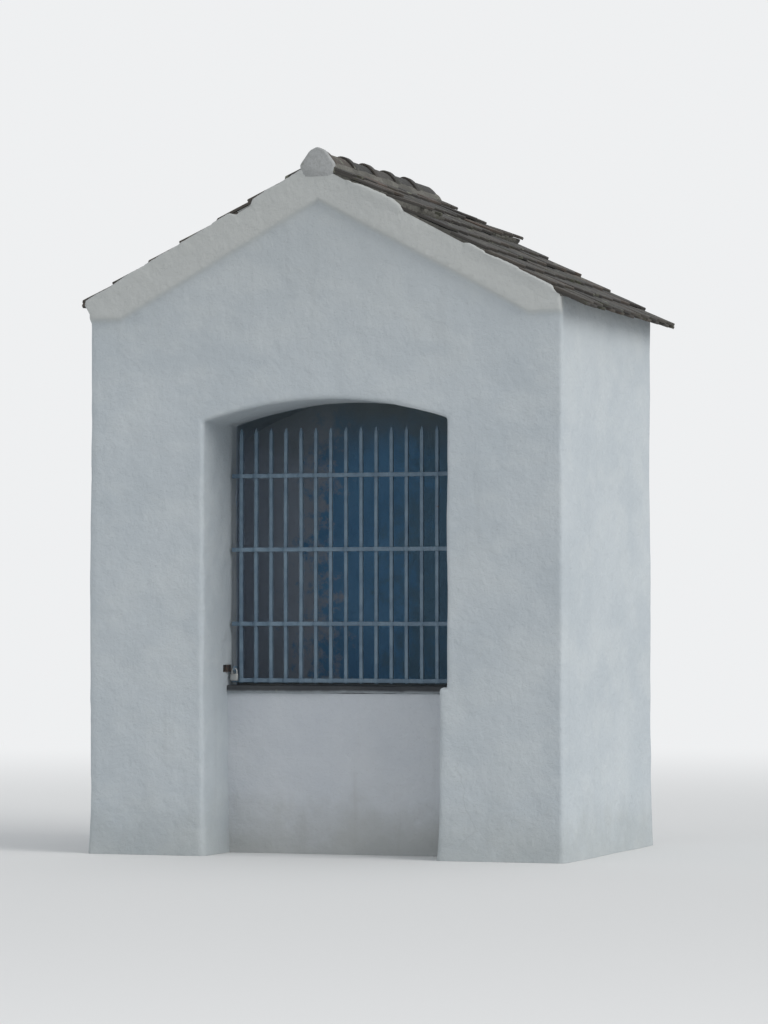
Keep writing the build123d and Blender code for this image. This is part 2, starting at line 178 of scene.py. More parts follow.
chamber = [(NICHE_LOW.x - COAT, NICHE_LOW.z)]
chamber += arch(NICHE_LOW.x - COAT, NICHE_HIGH.x + COAT, NICHE_HIGH.z, 0.250 + COAT, 32)
chamber += [(NICHE_HIGH.x + COAT, NICHE_LOW.z)]
chamber_cut = solid("chamber_cut", chamber, NICHE_LOW.y - COAT, NICHE_HIGH.y + COAT)

LEAF = 1.070
loft_space = [(-LEAF, 2.691), (-0.930, 2.691)] + arch(-0.930, 0.930, 2.287, 0.233, 16)
loft_space += [(0.930, 2.631), (LEAF, 2.631), (LEAF, 3.05), (RIDGE_X, 3.65), (-LEAF, 3.05)]
loft_cut = solid("loft_cut", loft_space, NICHE_LOW.y, NICHE_HIGH.y)
carve(walls, opening_cut, chamber_cut, loft_cut)

bm = bmesh.new()
bm.from_mesh(walls.data)
bmesh.ops.dissolve_limit(bm, angle_limit=0.002, verts=bm.verts, edges=bm.edges)


def shows_outside(edge):
    """An edge of the outer skin or the opening, neither at the ground nor under the tiles."""
    middle = (edge.verts[0].co + edge.verts[1].co) / 2
    on_ground = all(vert.co.z < 0.001 for vert in edge.verts)
    under_tiles = all(abs(vert.co.z - rake(vert.co.x)) < 0.002 for vert in edge.verts)
    within = middle.y > NICHE_LOW.y - 0.02 and abs(middle.x) < 1.1 and middle.y < 0.56
    return not (on_ground or under_tiles or within)


soften(bm, 0.020, 3, shows_outside)
soften(bm, 0.010, 2, shows_outside, outward=False)
divide(bm, 0.032, cad_box[0], cad_box[1])

BAND_PROUD, BAND_DROP, BAND_FOOT = 0.028, 0.150 / math.cos(PITCH), 0.170


def band_edge(x):
    """Height of the lower edge of the proud band at x."""
    side = -1 if x < RIDGE_X else 1
    turn = side * (1.25 - BAND_FOOT)
    return max(rake(x) - BAND_DROP, rake(turn) - BAND_DROP)


for side in (-1, 1):
    away = Vector((side * math.sin(PITCH), 0, math.cos(PITCH)))
    level = rake(side * (1.25 - BAND_FOOT)) - BAND_DROP
    for off in (-0.014, -0.006, 0.001, 0.008, 0.016):
        for normal, place in ((away, Vector((RIDGE_X, 0, RIDGE_Z - BAND_DROP)) + away * off),
                              (Vector((0, 0, 1)), Vector((0, 0, level + off)))):
            faces = []
            for face in bm.faces:
                middle = face.calc_center_median()
                if middle.y < WALL_FRONT + 0.021 and (middle.x - RIDGE_X) * side > -0.02:
                    if abs(middle.z - band_edge(middle.x)) < 0.09:
                        faces.append(face)
            loops = set(faces)
            for face in faces:
                loops.update(face.edges)
                loops.update(face.verts)
            bmesh.ops.bisect_plane(bm, geom=list(loops), dist=1e-5, plane_co=place, plane_no=normal)

band = bm.verts.layers.float.new("band")
bm.normal_update()
normals = {vert: vert.normal.copy() for vert in bm.verts}
for vert in bm.verts:
    point, normal = vert.co.copy(), normals[vert]
    outer = max(abs(point.x) - 1.20, abs(point.y) - 0.78, 0) > 0
    lift = unevenness(point, 0.0065 if outer else 0.003, 0.0034 if outer else 0.0016, 0.0011)
    flat = max(abs(normal.x), abs(normal.y), abs(normal.z))
    if flat < 0.9:
        lift -= max(0, noise.noise(point * 9.0) - 0.25) * 0.016
    under_tiles = abs(point.z - rake(point.x)) < 0.002
    if not under_tiles:
        vert.co += normal * lift
    level = Vector((normal.x, normal.y, 0))
    if point.z < 0.30 and level.length > 0.3:
        spread = (1 - point.z / 0.30) ** 2
        reach = 0.016 + 0.008 * noise.noise(point * 2.1)
        vert.co += level.normalized() * spread * reach
    if point.y < WALL_FRONT + 0.021 and point.z > 2.5:
        step = (point.z - band_edge(point.x) + 0.006 * noise.noise(point * 3.3)) * math.cos(PITCH)
        share = min(1, max(0, step / 0.030 + 0.5))
        share = share * share * (3 - 2 * share)
        vert.co.y -= BAND_PROUD * share
        vert[band] = share
    if point.z < 0.001:
        vert.co.z = 0
settle(bm, walls)
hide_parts("front_pier_left", "front_pier_right_lower", "front_pier_right_upper", "front_arch",
            "front_gable", "left_wall", "right_wall", "back_wall", "back_gable", "niche_podium",
            "verge_band_left", "verge_band_right")
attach(walls, "shrine")


def swatch(red, green, blue):
    """Colour of a paint swatch, 0 to 255, as a shader takes it."""
    values = []
    for part in (red, green, blue):
        part /= 255
        values.append(part / 12.92 if part <= 0.04045 else ((part + 0.055) / 1.055) ** 2.4)
    return (*values, 1)


def place(tree, kind, sockets=None, **settings):
    """Adds a shader node; a socket's value is a number, a colour or another node's socket."""
    node = tree.nodes.new("ShaderNode" + kind)
    for name, value in settings.items():
        setattr(node, name, value)
    for name, value in (sockets or {}).items():
        if isinstance(value, bpy.types.NodeSocket):
            tree.links.new(value, node.inputs[name])
        else:
            node.inputs[name].default_value = value
    return node


def wash(tree, mask, under, over):
    """Lays the colour over on the colour under where the mask is 1."""
    return place(tree, "Mix", {0: mask, 6: under, 7: over}, data_type="RGBA").outputs[2]


def sums(tree, operation, first, second=0.0, third=0.0):
    """One step of arithmetic on masks and heights."""
    return place(tree, "Math", {0: first, 1: second, 2: third}, operation=operation).outputs[0]


def between(tree, value, low, high):
    """Mask that goes smoothly from 0 at low to 1 at high."""
    node = place(tree, "MapRange", {"Value": value, "From Min": low, "From Max": high},
                 interpolation_type="SMOOTHSTEP")
    return node.outputs["Result"]


def speckle(tree, where, scale, detail=4.0, rough=0.5, stretch=None):
    """Plain noise over the surface, 0 to 1."""
    if stretch:
        where = place(tree, "Mapping", {"Vector": where, "Scale": stretch}).outputs["Vector"]
    node = place(tree, "TexNoise", {"Vector": where, "Scale": scale, "Detail": detail, "Roughness": rough})
    return node.outputs["Fac"]


def new_group(name, inputs, outputs):
    """Empty shader group; each input is (name, kind, value), each output is (name, kind)."""
    tree = bpy.data.node_groups.new(name, "ShaderNodeTree")
    for label, kind, value in inputs:
        made = tree.interface.new_socket(label, in_out="INPUT", socket_type="NodeSocket" + kind)
        made.default_value = value
    for label, kind in outputs:
        tree.interface.new_socket(label, in_out="OUTPUT", socket_type="NodeSocket" + kind)
    return tree, tree.nodes.new("NodeGroupInput").outputs, tree.nodes.new("NodeGroupOutput").inputs


def use(tree, group, **values):
    """Places a shader group in a material with its own values."""
    node = tree.nodes.new("ShaderNodeGroup")
    node.node_tree = group
    for name, value in values.items():
        label = name.replace("_", " ")
        if isinstance(value, bpy.types.NodeSocket):
            tree.links.new(value, node.inputs[label])
        else:
            node.inputs[label].default_value = value
    return node.outputs


def new_finish(name):
    """Empty material: its tree, its surface shader and the place on the piece."""
    finish = bpy.data.materials.new(name)
    finish.use_nodes = True
    tree = finish.node_tree
    return finish, tree, tree.nodes["Principled BSDF"], tree.nodes.new("ShaderNodeTexCoord").outputs["Object"]


def relief(tree, shader, height, depth, strength=1.0):
    """Lets a height, in parts of a depth in metres, shade the surface."""
    bump = place(tree, "Bump", {"Height": height, "Distance": depth, "Strength": strength})
    tree.links.new(bump.outputs["Normal"], shader.inputs["Normal"])


# Rubbed lime coat: float marks, sand grains and open pores
rubbed_coat, given, result = new_group(
    "rubbed_coat",
    [("Where", "Vector", (0, 0, 0)), ("Sand size", "Float", 260.0), ("Float marks", "Float", 10.0)],
    [("Height", "Float"), ("Pores", "Float"), ("Clouds", "Float")])
marks = speckle(rubbed_coat, given["Where"], given["Float marks"], 7, 0.62)
sand = speckle(rubbed_coat, given["Where"], given["Sand size"], 2, 0.7)
pits = place(rubbed_coat, "TexVoronoi", {"Vector": given["Where"], "Scale": 70.0}).outputs["Distance"]
pores = between(rubbed_coat, pits, 0.16, 0.05)
height = sums(rubbed_coat, "MULTIPLY_ADD", sand, 0.10, marks)
height = sums(rubbed_coat, "MULTIPLY_ADD", pores, -0.07, height)
rubbed_coat.links.new(height, result["Height"])
rubbed_coat.links.new(pores, result["Pores"])
rubbed_coat.links.new(speckle(rubbed_coat, given["Where"], 1.7, 6, 0.6), result["Clouds"])

# Weather on a wall: splashes and damp above the ground, and runs of dirt from above
wall_weather, given, result = new_group(
    "wall_weather",
    [("Where", "Vector", (0, 0, 0)), ("Splash height", "Float", 0.35)],
    [("Splash", "Float"), ("Runs", "Float"), ("Cracks", "Float")])
up = place(wall_weather, "SeparateXYZ", {0: given["Where"]}).outputs["Z"]
ragged = speckle(wall_weather, given["Where"], 5.0, 6, 0.65)
fall = sums(wall_weather, "MULTIPLY_ADD", ragged, -0.42, up)
splash = between(wall_weather, fall, sums(wall_weather, "MULTIPLY_ADD", given["Splash height"], 1.0, -0.2), -0.22)
wall_weather.links.new(splash, result["Splash"])
run = speckle(wall_weather, given["Where"], 1.0, 4, 0.6, (16, 16, 0.9))
run = between(wall_weather, run, 0.54, 0.74)
run = sums(wall_weather, "MULTIPLY", run, between(wall_weather, speckle(wall_weather, given["Where"], 1.3, 3), 0.42, 0.62))
wall_weather.links.new(run, result["Runs"])
bent = place(wall_weather, "TexNoise", {"Vector": given["Where"], "Scale": 5.0, "Detail": 4.0}).outputs["Color"]
bent = place(wall_weather, "VectorMath", {0: bent, 1: (0.16, 0.16, 0.16)}, operation="MULTIPLY").outputs[0]
bent = place(wall_weather, "VectorMath", {0: given["Where"], 1: bent}, operation="ADD").outputs[0]
veins = place(wall_weather, "TexVoronoi", {"Vector": bent, "Scale": 0.9}, feature="DISTANCE_TO_EDGE")
thin = between(wall_weather, veins.outputs["Distance"], 0.0030, 0.0008)
here = between(wall_weather, speckle(wall_weather, given["Where"], 1.5, 3), 0.57, 0.66)
wall_weather.links.new(sums(wall_weather, "MULTIPLY", thin, here), result["Cracks"])

lime_plaster, tree, shader, where = new_finish("lime_plaster_white")
coat = use(tree, rubbed_coat, Where=where)
weather = use(tree, wall_weather, Where=where)
shade = wash(tree, between(tree, coat["Clouds"], 0.30, 0.72), swatch(185, 193, 198), swatch(194, 201, 205))
stroke = speckle(tree, where, 1.0, 4, 0.6, (3.4, 3.4, 5.5))
shade = wash(tree, sums(tree, "MULTIPLY", between(tree, stroke, 0.42, 0.66), 0.45), shade, swatch(201, 207, 209))
fresh = place(tree, "Attribute", attribute_name="band").outputs["Fac"]
shade = wash(tree, sums(tree, "MULTIPLY", fresh, 0.55), shade, swatch(196, 195, 188))
# The coat turns greyer upwards, from 2.2 m to the top of the gable.
greyer_towards_top = between(tree, place(tree, "SeparateXYZ", {0: where}).outputs["Z"], 2.2, 3.3)
shade = wash(tree, sums(tree, "MULTIPLY", greyer_towards_top, 0.30), shade, swatch(172, 174, 171))
shade = wash(tree, sums(tree, "MULTIPLY", weather["Runs"], 0.09), shade, swatch(148, 152, 152))
shade = wash(tree, sums(tree, "MULTIPLY", weather["Splash"], 0.32), shade, swatch(152, 155, 148))
shade = wash(tree, sums(tree, "MULTIPLY", coat["Pores"], 0.30), shade, swatch(140, 141, 136))
shade = wash(tree, sums(tree, "MULTIPLY", weather["Cracks"], 0.12), shade, swatch(120, 121, 118))
tree.links.new(shade, shader.inputs["Base Color"])
rough = sums(tree, "MULTIPLY_ADD", coat["Clouds"], 0.12, 0.84)
tree.links.new(rough, shader.inputs["Roughness"])
height = sums(tree, "MULTIPLY_ADD", weather["Cracks"], -0.03, coat["Height"])
relief(tree, shader, height, 0.016)
walls.data.materials.clear()
walls.data.materials.append(lime_plaster)


# Niche lining: the chamber's own coat of plaster on walls and vault, a finger thick,
# with a blue lime wash that has worn off to bare grey coat on the left and above.
lining_shape = [(NICHE_LOW.x - COAT, 0.849)]
lining_shape += arch(NICHE_LOW.x - COAT, NICHE_HIGH.x + COAT, NICHE_HIGH.z, 0.250 + COAT, 32)
lining_shape += [(NICHE_HIGH.x + COAT, 0.849)]
lining = solid("niche_lining", lining_shape, NICHE_LOW.y - COAT, NICHE_HIGH.y + COAT)
inside = [(NICHE_LOW.x, 0.7)] + arch(NICHE_LOW.x, NICHE_HIGH.x, NICHE_HIGH.z, 0.250, 32)
inside += [(NICHE_HIGH.x, 0.7)]
inside_cut = solid("inside_cut", inside, NICHE_LOW.y, NICHE_HIGH.y)
doorway = [(JAMB_LEFT, 0.7)] + arch(JAMB_LEFT, JAMB_RIGHT, SPRING, 0.109) + [(JAMB_RIGHT, 0.7)]
doorway_cut = solid("doorway_cut", doorway, NICHE_LOW.y - 0.1, NICHE_LOW.y + 0.05)
carve(lining, inside_cut, doorway_cut)
bm = bmesh.new()
bm.from_mesh(lining.data)
bmesh.ops.dissolve_limit(bm, angle_limit=0.002, verts=bm.verts, edges=bm.edges)
divide(bm, 0.07, cad_box[0], cad_box[1])
bm.normal_update()
normals = {vert: vert.normal.copy() for vert in bm.verts}
for vert in bm.verts:
    if vert.co.z > 0.86 and NICHE_LOW.x - 0.001 < vert.co.x < NICHE_HIGH.x + 0.001:
        if NICHE_LOW.y - 0.001 < vert.co.y < NICHE_HIGH.y + 0.001:
            vert.co += normals[vert] * unevenness(vert.co, 0.004, 0.002, 0.0006)
settle(bm, lining)
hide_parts("niche_vault")
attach(lining, "shrine")

niche_wash, tree, shader, where = new_finish("blue_niche_wash")
coat = use(tree, rubbed_coat, Where=where)
along = place(tree, "SeparateXYZ", {0: where}).outputs
wander = sums(tree, "MULTIPLY_ADD", speckle(tree, where, 3.0, 5), 0.5, -0.25)
flakes = sums(tree, "MULTIPLY_ADD", speckle(tree, where, 11.0, 9, 0.7), 0.9, -0.45)
sideways = sums(tree, "ADD", along["X"], sums(tree, "ADD", wander, flakes))
shade = wash(tree, between(tree, coat["Clouds"], 0.35, 0.68), swatch(104, 156, 200), swatch(122, 174, 216))
shade = wash(tree, between(tree, sideways, -0.38, -0.56), shade, swatch(181, 192, 206))
# Painted shade: towards the right the blue turns darker and greyer, standing in for the shade on that part of the
# back wall.
shade = wash(tree, sums(tree, "MULTIPLY", between(tree, sideways, -0.14, 0.16), 0.85), shade, swatch(114, 148, 170))
shade = wash(tree, between(tree, sums(tree, "ADD", along["Z"], wander), 1.95, 2.35), shade, swatch(138, 150, 154))
shade = wash(tree, sums(tree, "MULTIPLY", coat["Pores"], 0.4), shade, swatch(168, 174, 172))
tree.links.new(shade, shader.inputs["Base Color"])
tree.links.new(sums(tree, "MULTIPLY_ADD", coat["Clouds"], 0.1, 0.86), shader.inputs["Roughness"])
relief(tree, shader, coat["Height"], 0.012)
lining.data.materials.append(niche_wash)


# Parapet: a thin wall set back between the piers, under the sill. It was built and
# plastered after them, so its coat is smoother and stops against the jambs.
low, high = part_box("apron_wall")
parapet = solid("parapet_wall", [(low.x - 0.02, 0), (high.x + 0.02, 0), (high.x + 0.02, high.z),
                                 (low.x - 0.02, high.z)], low.y, high.y)
bm = bmesh.new()
bm.from_mesh(parapet.data)
divide(bm, 0.048, cad_box[0], cad_box[1])
bm.normal_update()
for vert in bm.verts:
    if vert.co.y < low.y + 0.001:
        spread = max(0, 1 - vert.co.z / 0.25) ** 2
        vert.co.y += unevenness(vert.co, 0.005, 0.003, 0.0008) - 0.014 * spread
settle(bm, parapet)
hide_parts("apron_wall")
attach(parapet, "shrine")

parapet_plaster, tree, shader, where = new_finish("lime_plaster_of_parapet")
coat = use(tree, rubbed_coat, Where=where)
weather = use(tree, wall_weather, Where=where)
# Painted light: the parapet's coat is a little paler than the walls' coat, offsetting the shade of the recess it
# stands in.
shade = wash(tree, between(tree, coat["Clouds"], 0.30, 0.70), swatch(195, 200, 206), swatch(204, 208, 212))
shade = wash(tree, sums(tree, "MULTIPLY", weather["Runs"], 0.14), shade, swatch(152, 150, 148))
shade = wash(tree, sums(tree, "MULTIPLY", weather["Splash"], 0.5), shade, swatch(150, 150, 140))
shade = wash(tree, sums(tree, "MULTIPLY", coat["Pores"], 0.3), shade, swatch(136, 134, 129))
tree.links.new(shade, shader.inputs["Base Color"])
tree.links.new(sums(tree, "MULTIPLY_ADD", coat["Clouds"], 0.12, 0.84), shader.inputs["Roughness"])
relief(tree, shader, coat["Height"], 0.014)
parapet.data.materials.append(parapet_plaster)


# Sill: one dark weathered slab on the parapet, with a worn nose that throws the rain
# clear, brushed with lime along its lower edge when the wall was washed. That lime is
# painted greyer than the parapet's coat, as painted shade under the nose. Behind it
# lies the niche floor, a grey lime screed trowelled level with it.
def worn_slab(name, low, high, arris, step, lift, mend=0.0):
    """Slab with worn arrises and an uneven face."""
    slab = solid(name, [(low.x, low.z), (high.x, low.z), (high.x, high.z), (low.x, high.z)], low.y, high.y)
    bm = bmesh.new()
    bm.from_mesh(slab.data)
    soften(bm, arris, 3, lambda edge: all(vert.co.y < low.y + 0.001 for vert in edge.verts))
    divide(bm, step, low, high)
    bm.normal_update()
    normals = {vert: vert.normal.copy() for vert in bm.verts}
    for vert in bm.verts:
        worn = unevenness(vert.co * 2, lift, lift * 0.6, lift * 0.3)
        if vert.co.y < low.y + arris * 1.5:
            worn -= max(0, noise.noise(vert.co * 13) - mend) * 0.012
        vert.co += normals[vert] * worn
        vert.co.z = min(vert.co.z, high.z + 0.0015)
    settle(bm, slab)
    return slab


low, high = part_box("sill")
sill = worn_slab("sill_slab", Vector((low.x - 0.01, low.y, low.z)), Vector((high.x + 0.01, high.y, high.z)),
                 0.011, 0.028, 0.0022, 0.2)
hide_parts("sill")
low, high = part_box("niche_floor")
screed = worn_slab("niche_screed", low, high, 0.002, 0.06, 0.0014, 1.0)
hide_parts("niche_floor")
for slab in (sill, screed):
    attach(slab, "shrine")

# Growth on stone, tiles and mortar: round pale crusts with a ragged rim
lichen_growth, given, result = new_group(
    "lichen_growth",
    [("Where", "Vector", (0, 0, 0)), ("Size", "Float", 18.0), ("Spread", "Float", 0.5)],
    [("Crust", "Float"), ("Moss", "Float")])
rim = place(lichen_growth, "TexNoise", {"Vector": given["Where"], "Scale": 40.0, "Detail": 5.0}).outputs["Color"]
rim = place(lichen_growth, "VectorMath", {0: rim, 1: (0.03, 0.03, 0.03)}, operation="MULTIPLY").outputs[0]
rim = place(lichen_growth, "VectorMath", {0: given["Where"], 1: rim}, operation="ADD").outputs[0]
cells = place(lichen_growth, "TexVoronoi", {"Vector": rim, "Scale": given["Size"]}).outputs
chance = place(lichen_growth, "SeparateColor", {0: cells["Color"]}).outputs[0]
size = sums(lichen_growth, "MULTIPLY_ADD", sums(lichen_growth, "POWER", chance, 3.0), 0.50, 0.04)
crust = between(lichen_growth, sums(lichen_growth, "SUBTRACT", cells["Distance"], size), 0.06, -0.04)
patchy = speckle(lichen_growth, given["Where"], 3.2, 4)
patchy = between(lichen_growth, sums(lichen_growth, "ADD", patchy, given["Spread"]), 0.98, 1.10)
lichen_growth.links.new(sums(lichen_growth, "MULTIPLY", crust, patchy), result["Crust"])
moss = speckle(lichen_growth, given["Where"], 7.0, 8, 0.7)
moss = between(lichen_growth, sums(lichen_growth, "ADD", moss, given["Spread"]), 1.06, 1.20)
lichen_growth.links.new(moss, result["Moss"])

dark_stone, tree, shader, where = new_finish("dark_weathered_stone")
growth = use(tree, lichen_growth, Where=where, Size=38.0, Spread=0.46)
grain = speckle(tree, where, 40.0, 8, 0.7)
clouds = speckle(tree, where, 4.0, 5)
shade = wash(tree, between(tree, clouds, 0.3, 0.7), swatch(42, 46, 52), swatch(60, 63, 66))
shade = wash(tree, sums(tree, "MULTIPLY", grain, 0.25), shade, swatch(84, 86, 86))
shade = wash(tree, sums(tree, "MULTIPLY", growth["Crust"], 0.5), shade, swatch(134, 138, 124))
up = place(tree, "SeparateXYZ", {0: where}).outputs["Z"]
# Lime brushed on the lower edge, painted greyer than the parapet's coat as painted shade under the nose.
brushed = sums(tree, "MULTIPLY_ADD", speckle(tree, where, 9.0, 6, 0.6), 0.016, up)
lime = sums(tree, "MULTIPLY", between(tree, brushed, 0.838, 0.820), 0.85)
shade = wash(tree, lime, shade, swatch(160, 167, 172))
tree.links.new(shade, shader.inputs["Base Color"])
tree.links.new(sums(tree, "MULTIPLY_ADD", clouds, 0.2, 0.68), shader.inputs["Roughness"])
relief(tree, shader, sums(tree, "MULTIPLY_ADD", growth["Crust"], 0.2, grain), 0.005)
sill.data.materials.append(dark_stone)

grey_screed, tree, shader, where = new_finish("grey_lime_screed")
coat = use(tree, rubbed_coat, Where=where)
shade = wash(tree, between(tree, coat["Clouds"], 0.3, 0.7), swatch(92, 94, 92), swatch(120, 120, 115))
dust = between(tree, speckle(tree, where, 6.0, 6, 0.6), 0.45, 0.7)
shade = wash(tree, sums(tree, "MULTIPLY", dust, 0.4), shade, swatch(146, 142, 132))
tree.links.new(shade, shader.inputs["Base Color"])
tree.links.new(sums(tree, "MULTIPLY_ADD", dust, 0.1, 0.8), shader.inputs["Roughness"])
relief(tree, shader, coat["Height"], 0.006)
screed.data.materials.append(grey_screed)


# Roof timber: sawn softwood plates, rafters, battens and ridge board, grey with age,
# shut in between the vault and the tiles. The CAD pieces stay and get their finish.
sawn_timber, tree, shader, where = new_finish("sawn_grey_timber")
rings = speckle(tree, where, 1.0, 5, 0.6, (45, 4, 45))
fibre = speckle(tree, where, 1.0, 3, 0.6, (420, 14, 420))
shade = wash(tree, between(tree, rings, 0.35, 0.65), swatch(112, 96, 76), swatch(146, 132, 110))
shade = wash(tree, sums(tree, "MULTIPLY", fibre, 0.4), shade, swatch(84, 74, 62))
tree.links.new(shade, shader.inputs["Base Color"])
tree.links.new(sums(tree, "MULTIPLY_ADD", fibre, 0.15, 0.75), shader.inputs["Roughness"])
relief(tree, shader, sums(tree, "MULTIPLY_ADD", rings, 0.5, fibre), 0.001)
for node in ("wall_plate_left", "wall_plate_right", "ridge_board", "rafters_left", "rafters_right",
             "battens_left", "battens_right"):
    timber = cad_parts[node]
    if not timber.material_slots:
        timber.data.materials.append(sawn_timber)
    for held in timber.material_slots:
        held.material = sawn_timber


# Plain tiles: hand-made clay tiles with a rounded tail, hung on the battens in seven
# courses on the left and eight on the right, each joint over the middle of a tile
# below. Fired dark, weathered nearly black, and no two quite alike.
TILE_THICK, TILE_LENGTH, TILE_GAP = 0.014, 0.350, 0.003
TILE_WIDTH = 0.174
TILE_TAIL = 0.034
ACROSS = (0, 0.02, 0.2, 0.4, 0.6, 0.8, 0.98, 1)
ALONG = (0, 0.012, 0.10, 0.35, 0.65, 1)
VERGE_FRONT, VERGE_BACK = cad_box[0].y, cad_box[1].y
tile_draw = random.Random(11)


def on_slope(side, down, out):
    """(x, z) of a point down the slope from the ridge and out from the tiles' bed."""
    x = RIDGE_X + side * (down * math.cos(PITCH) + out * math.sin(PITCH))
    return x, RIDGE_Z - down * math.sin(PITCH) + out * math.cos(PITCH)


def add_tile(skin, side, down, middle, width, length, under, tilt, draw, kick=0.0):
    """Adds one tile whose tail lies at down on the slope."""
    points, faces, tones, edges = skin
    tone, seed = draw.random(), draw.random()
    turn = math.radians(draw.gauss(0, 0.5))
    lift = max(0, draw.gauss(0.0008, 0.0025)) + kick
    crown = draw.uniform(0.0005, 0.003)
    bow = draw.uniform(-0.001, 0.003)
    slip = draw.gauss(0, 0.003)
    twist = draw.uniform(-0.002, 0.002)
    tail = TILE_TAIL * draw.uniform(0.85, 1.15) * (width / TILE_WIDTH) ** 2
    chip = draw.random()
    first = len(points)
    for top in (1, 0):
        for v in ALONG:
            for u in ACROSS:
                rim = u in (0, 1) or v in (0, 1)
                x = (u - 0.5) * width
                start = tail * (2 * u - 1) ** 2
                if chip < 0.14 and u < 0.3 and v < 0.05:
                    start += 0.02 * (0.3 - u) / 0.3
                y = start + (length - start) * v
                z = crown * (1 - (2 * u - 1) ** 2) + bow * 4 * v * (1 - v)
                z += twist * (u - 0.5) * (0.5 - v) * 2
                z += top * (TILE_THICK - (0.0025 if rim else 0))
                x += 0.0009 * noise.noise(Vector((seed * 90, y * 40, u * 3)))
                y += 0.0012 * noise.noise(Vector((x * 40, seed * 70, v * 2)))
                z += 0.0007 * noise.noise(Vector((x * 25, y * 25, seed * 50)))
                across = x * math.cos(turn) - y * math.sin(turn)
                up = x * math.sin(turn) + y * math.cos(turn)
                out = under + lift * (1 - up / length) - tilt * up + z
                if v == 1:
                    out = max(out, 0.0015 * top)
                px, pz = on_slope(side, down + slip - up, out)
                py = min(max(middle + across, VERGE_FRONT), VERGE_BACK)
                points.append((min(max(px, cad_box[0].x), cad_box[1].x), py, pz))
                tones.append(tone)
                edges.append(1.0 if rim and top else 0.0)
    wide, long = len(ACROSS), len(ALONG)
    under_face = first + wide * long
    for row in range(long - 1):
        for col in range(wide - 1):
            a = first + row * wide + col
            b = under_face + row * wide + col
            faces.append((a, a + 1, a + wide + 1, a + wide))
            faces.append((b, b + wide, b + wide + 1, b + 1))
    border = [c for c in range(wide)]
    border += [r * wide + wide - 1 for r in range(1, long)]
    border += [(long - 1) * wide + c for c in range(wide - 2, -1, -1)]
    border += [r * wide for r in range(long - 2, 0, -1)]
    for i, here in enumerate(border):
        there = border[(i + 1) % len(border)]
        faces.append((first + there, first + here, under_face + here, under_face + there))


def from_skin(name, skin):
    """Piece from lists of points, faces, tones and edges."""
    points, faces, tones, edges = skin
    mesh = bpy.data.meshes.new(name)
    mesh.from_pydata(points, [], faces)
    for label, values in (("tone", tones), ("edge", edges)):
        mesh.attributes.new(label, "FLOAT", "POINT").data.foreach_set("value", values)
    piece = bpy.data.objects.new(name, mesh)
    bpy.context.collection.objects.link(piece)
    bm = bmesh.new()
    bm.from_mesh(mesh)
    settle(bm, piece, 0.6)
    return piece


PACKED_UP = {5: (0.034, 0.026), 6: (0.016, 0.012), 7: (0.006, 0.005)}


def packed_up(side, course, y):
    """How far the tail of a tile stands up on packing, at both ends of the right slope."""
    front, back = PACKED_UP.get(course, (0, 0)) if side > 0 else (0, 0)
    return max(front * min(1, max(0, (-0.35 - y) / 0.25)), back * min(1, max(0, (y - 0.35) / 0.25)))


covering = {}
packed_runs = []
for side, courses, eave, node in ((-1, 7, 1.295, "tiles_left"), (1, 8, 1.375, "tiles_right")):
    slope = abs(side * eave - RIDGE_X) / math.cos(PITCH)
    gauge = slope / courses
    tilt = (TILE_THICK + 0.0005) / gauge
    under = 0.0252
    skin = ([], [], [], [])
    verge0 = VERGE_FRONT + (0.010 if side < 0 else 0.004)
    verge1 = VERGE_BACK - 0.004
    count = 10
    wide = (verge1 - verge0) / count
    for course in range(-1, courses):
        down = slope - max(course, 0) * gauge - 0.004
        starts = [verge0 + wide * i for i in range(count + 1)]
        if course % 2:
            starts = [verge0] + [verge0 + wide * (i + 0.5) for i in range(count)] + [verge1]
        if side > 0:
            starts[0] += 0.009
        length, lying, slant = TILE_LENGTH, under, tilt
        if course < 0:
            down, length, lying = slope - 0.008, 0.215, 0.0105
            slant = 0.05
        if course == courses - 1:
            length = gauge - 0.012
        for left, right in zip(starts, starts[1:]):
            middle = (left + right) / 2 + tile_draw.gauss(0, 0.0012)
            kick = packed_up(side, course, (left + right) / 2)
            add_tile(skin, side, down, middle, right - left - TILE_GAP, length, lying, slant, tile_draw, kick)
            if kick > 0.004:
                packed_runs.append((down, max(left, VERGE_FRONT + 0.016), min(right, VERGE_BACK - 0.009), kick))
    covering[side] = from_skin("plain_tiles_left" if side < 0 else "plain_tiles_right", skin)
    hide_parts(node)
    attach(covering[side], "shrine")

old_clay, tree, shader, where = new_finish("old_dark_clay")
tone = place(tree, "Attribute", attribute_name="tone").outputs["Fac"]
rim = place(tree, "Attribute", attribute_name="edge").outputs["Fac"]
shift = place(tree, "CombineXYZ", {"X": sums(tree, "MULTIPLY", tone, 37.0), "Y": 0.0, "Z": 0.0}).outputs[0]
own = place(tree, "VectorMath", {0: where, 1: shift}, operation="ADD").outputs[0]
growth = use(tree, lichen_growth, Where=where, Size=24.0, Spread=0.52)
fired = speckle(tree, own, 5.0, 6, 0.6)
grit = speckle(tree, own, 1.0, 3, 0.7, (240, 240, 240))
shade = wash(tree, between(tree, tone, 0.0, 1.0), swatch(50, 50, 49), swatch(76, 72, 67))
shade = wash(tree, sums(tree, "MULTIPLY", between(tree, fired, 0.45, 0.7), 0.6), shade, swatch(68, 67, 65))
red = sums(tree, "MULTIPLY", between(tree, tone, 0.80, 0.90), between(tree, fired, 0.4, 0.6))
shade = wash(tree, sums(tree, "MULTIPLY", red, 0.4), shade, swatch(108, 84, 70))
shade = wash(tree, sums(tree, "MULTIPLY", grit, 0.25), shade, swatch(40, 38, 37))
shade = wash(tree, sums(tree, "MULTIPLY", rim, 0.16), shade, swatch(104, 90, 78))
shade = wash(tree, sums(tree, "MULTIPLY", growth["Crust"], 0.55), shade, swatch(136, 138, 122))
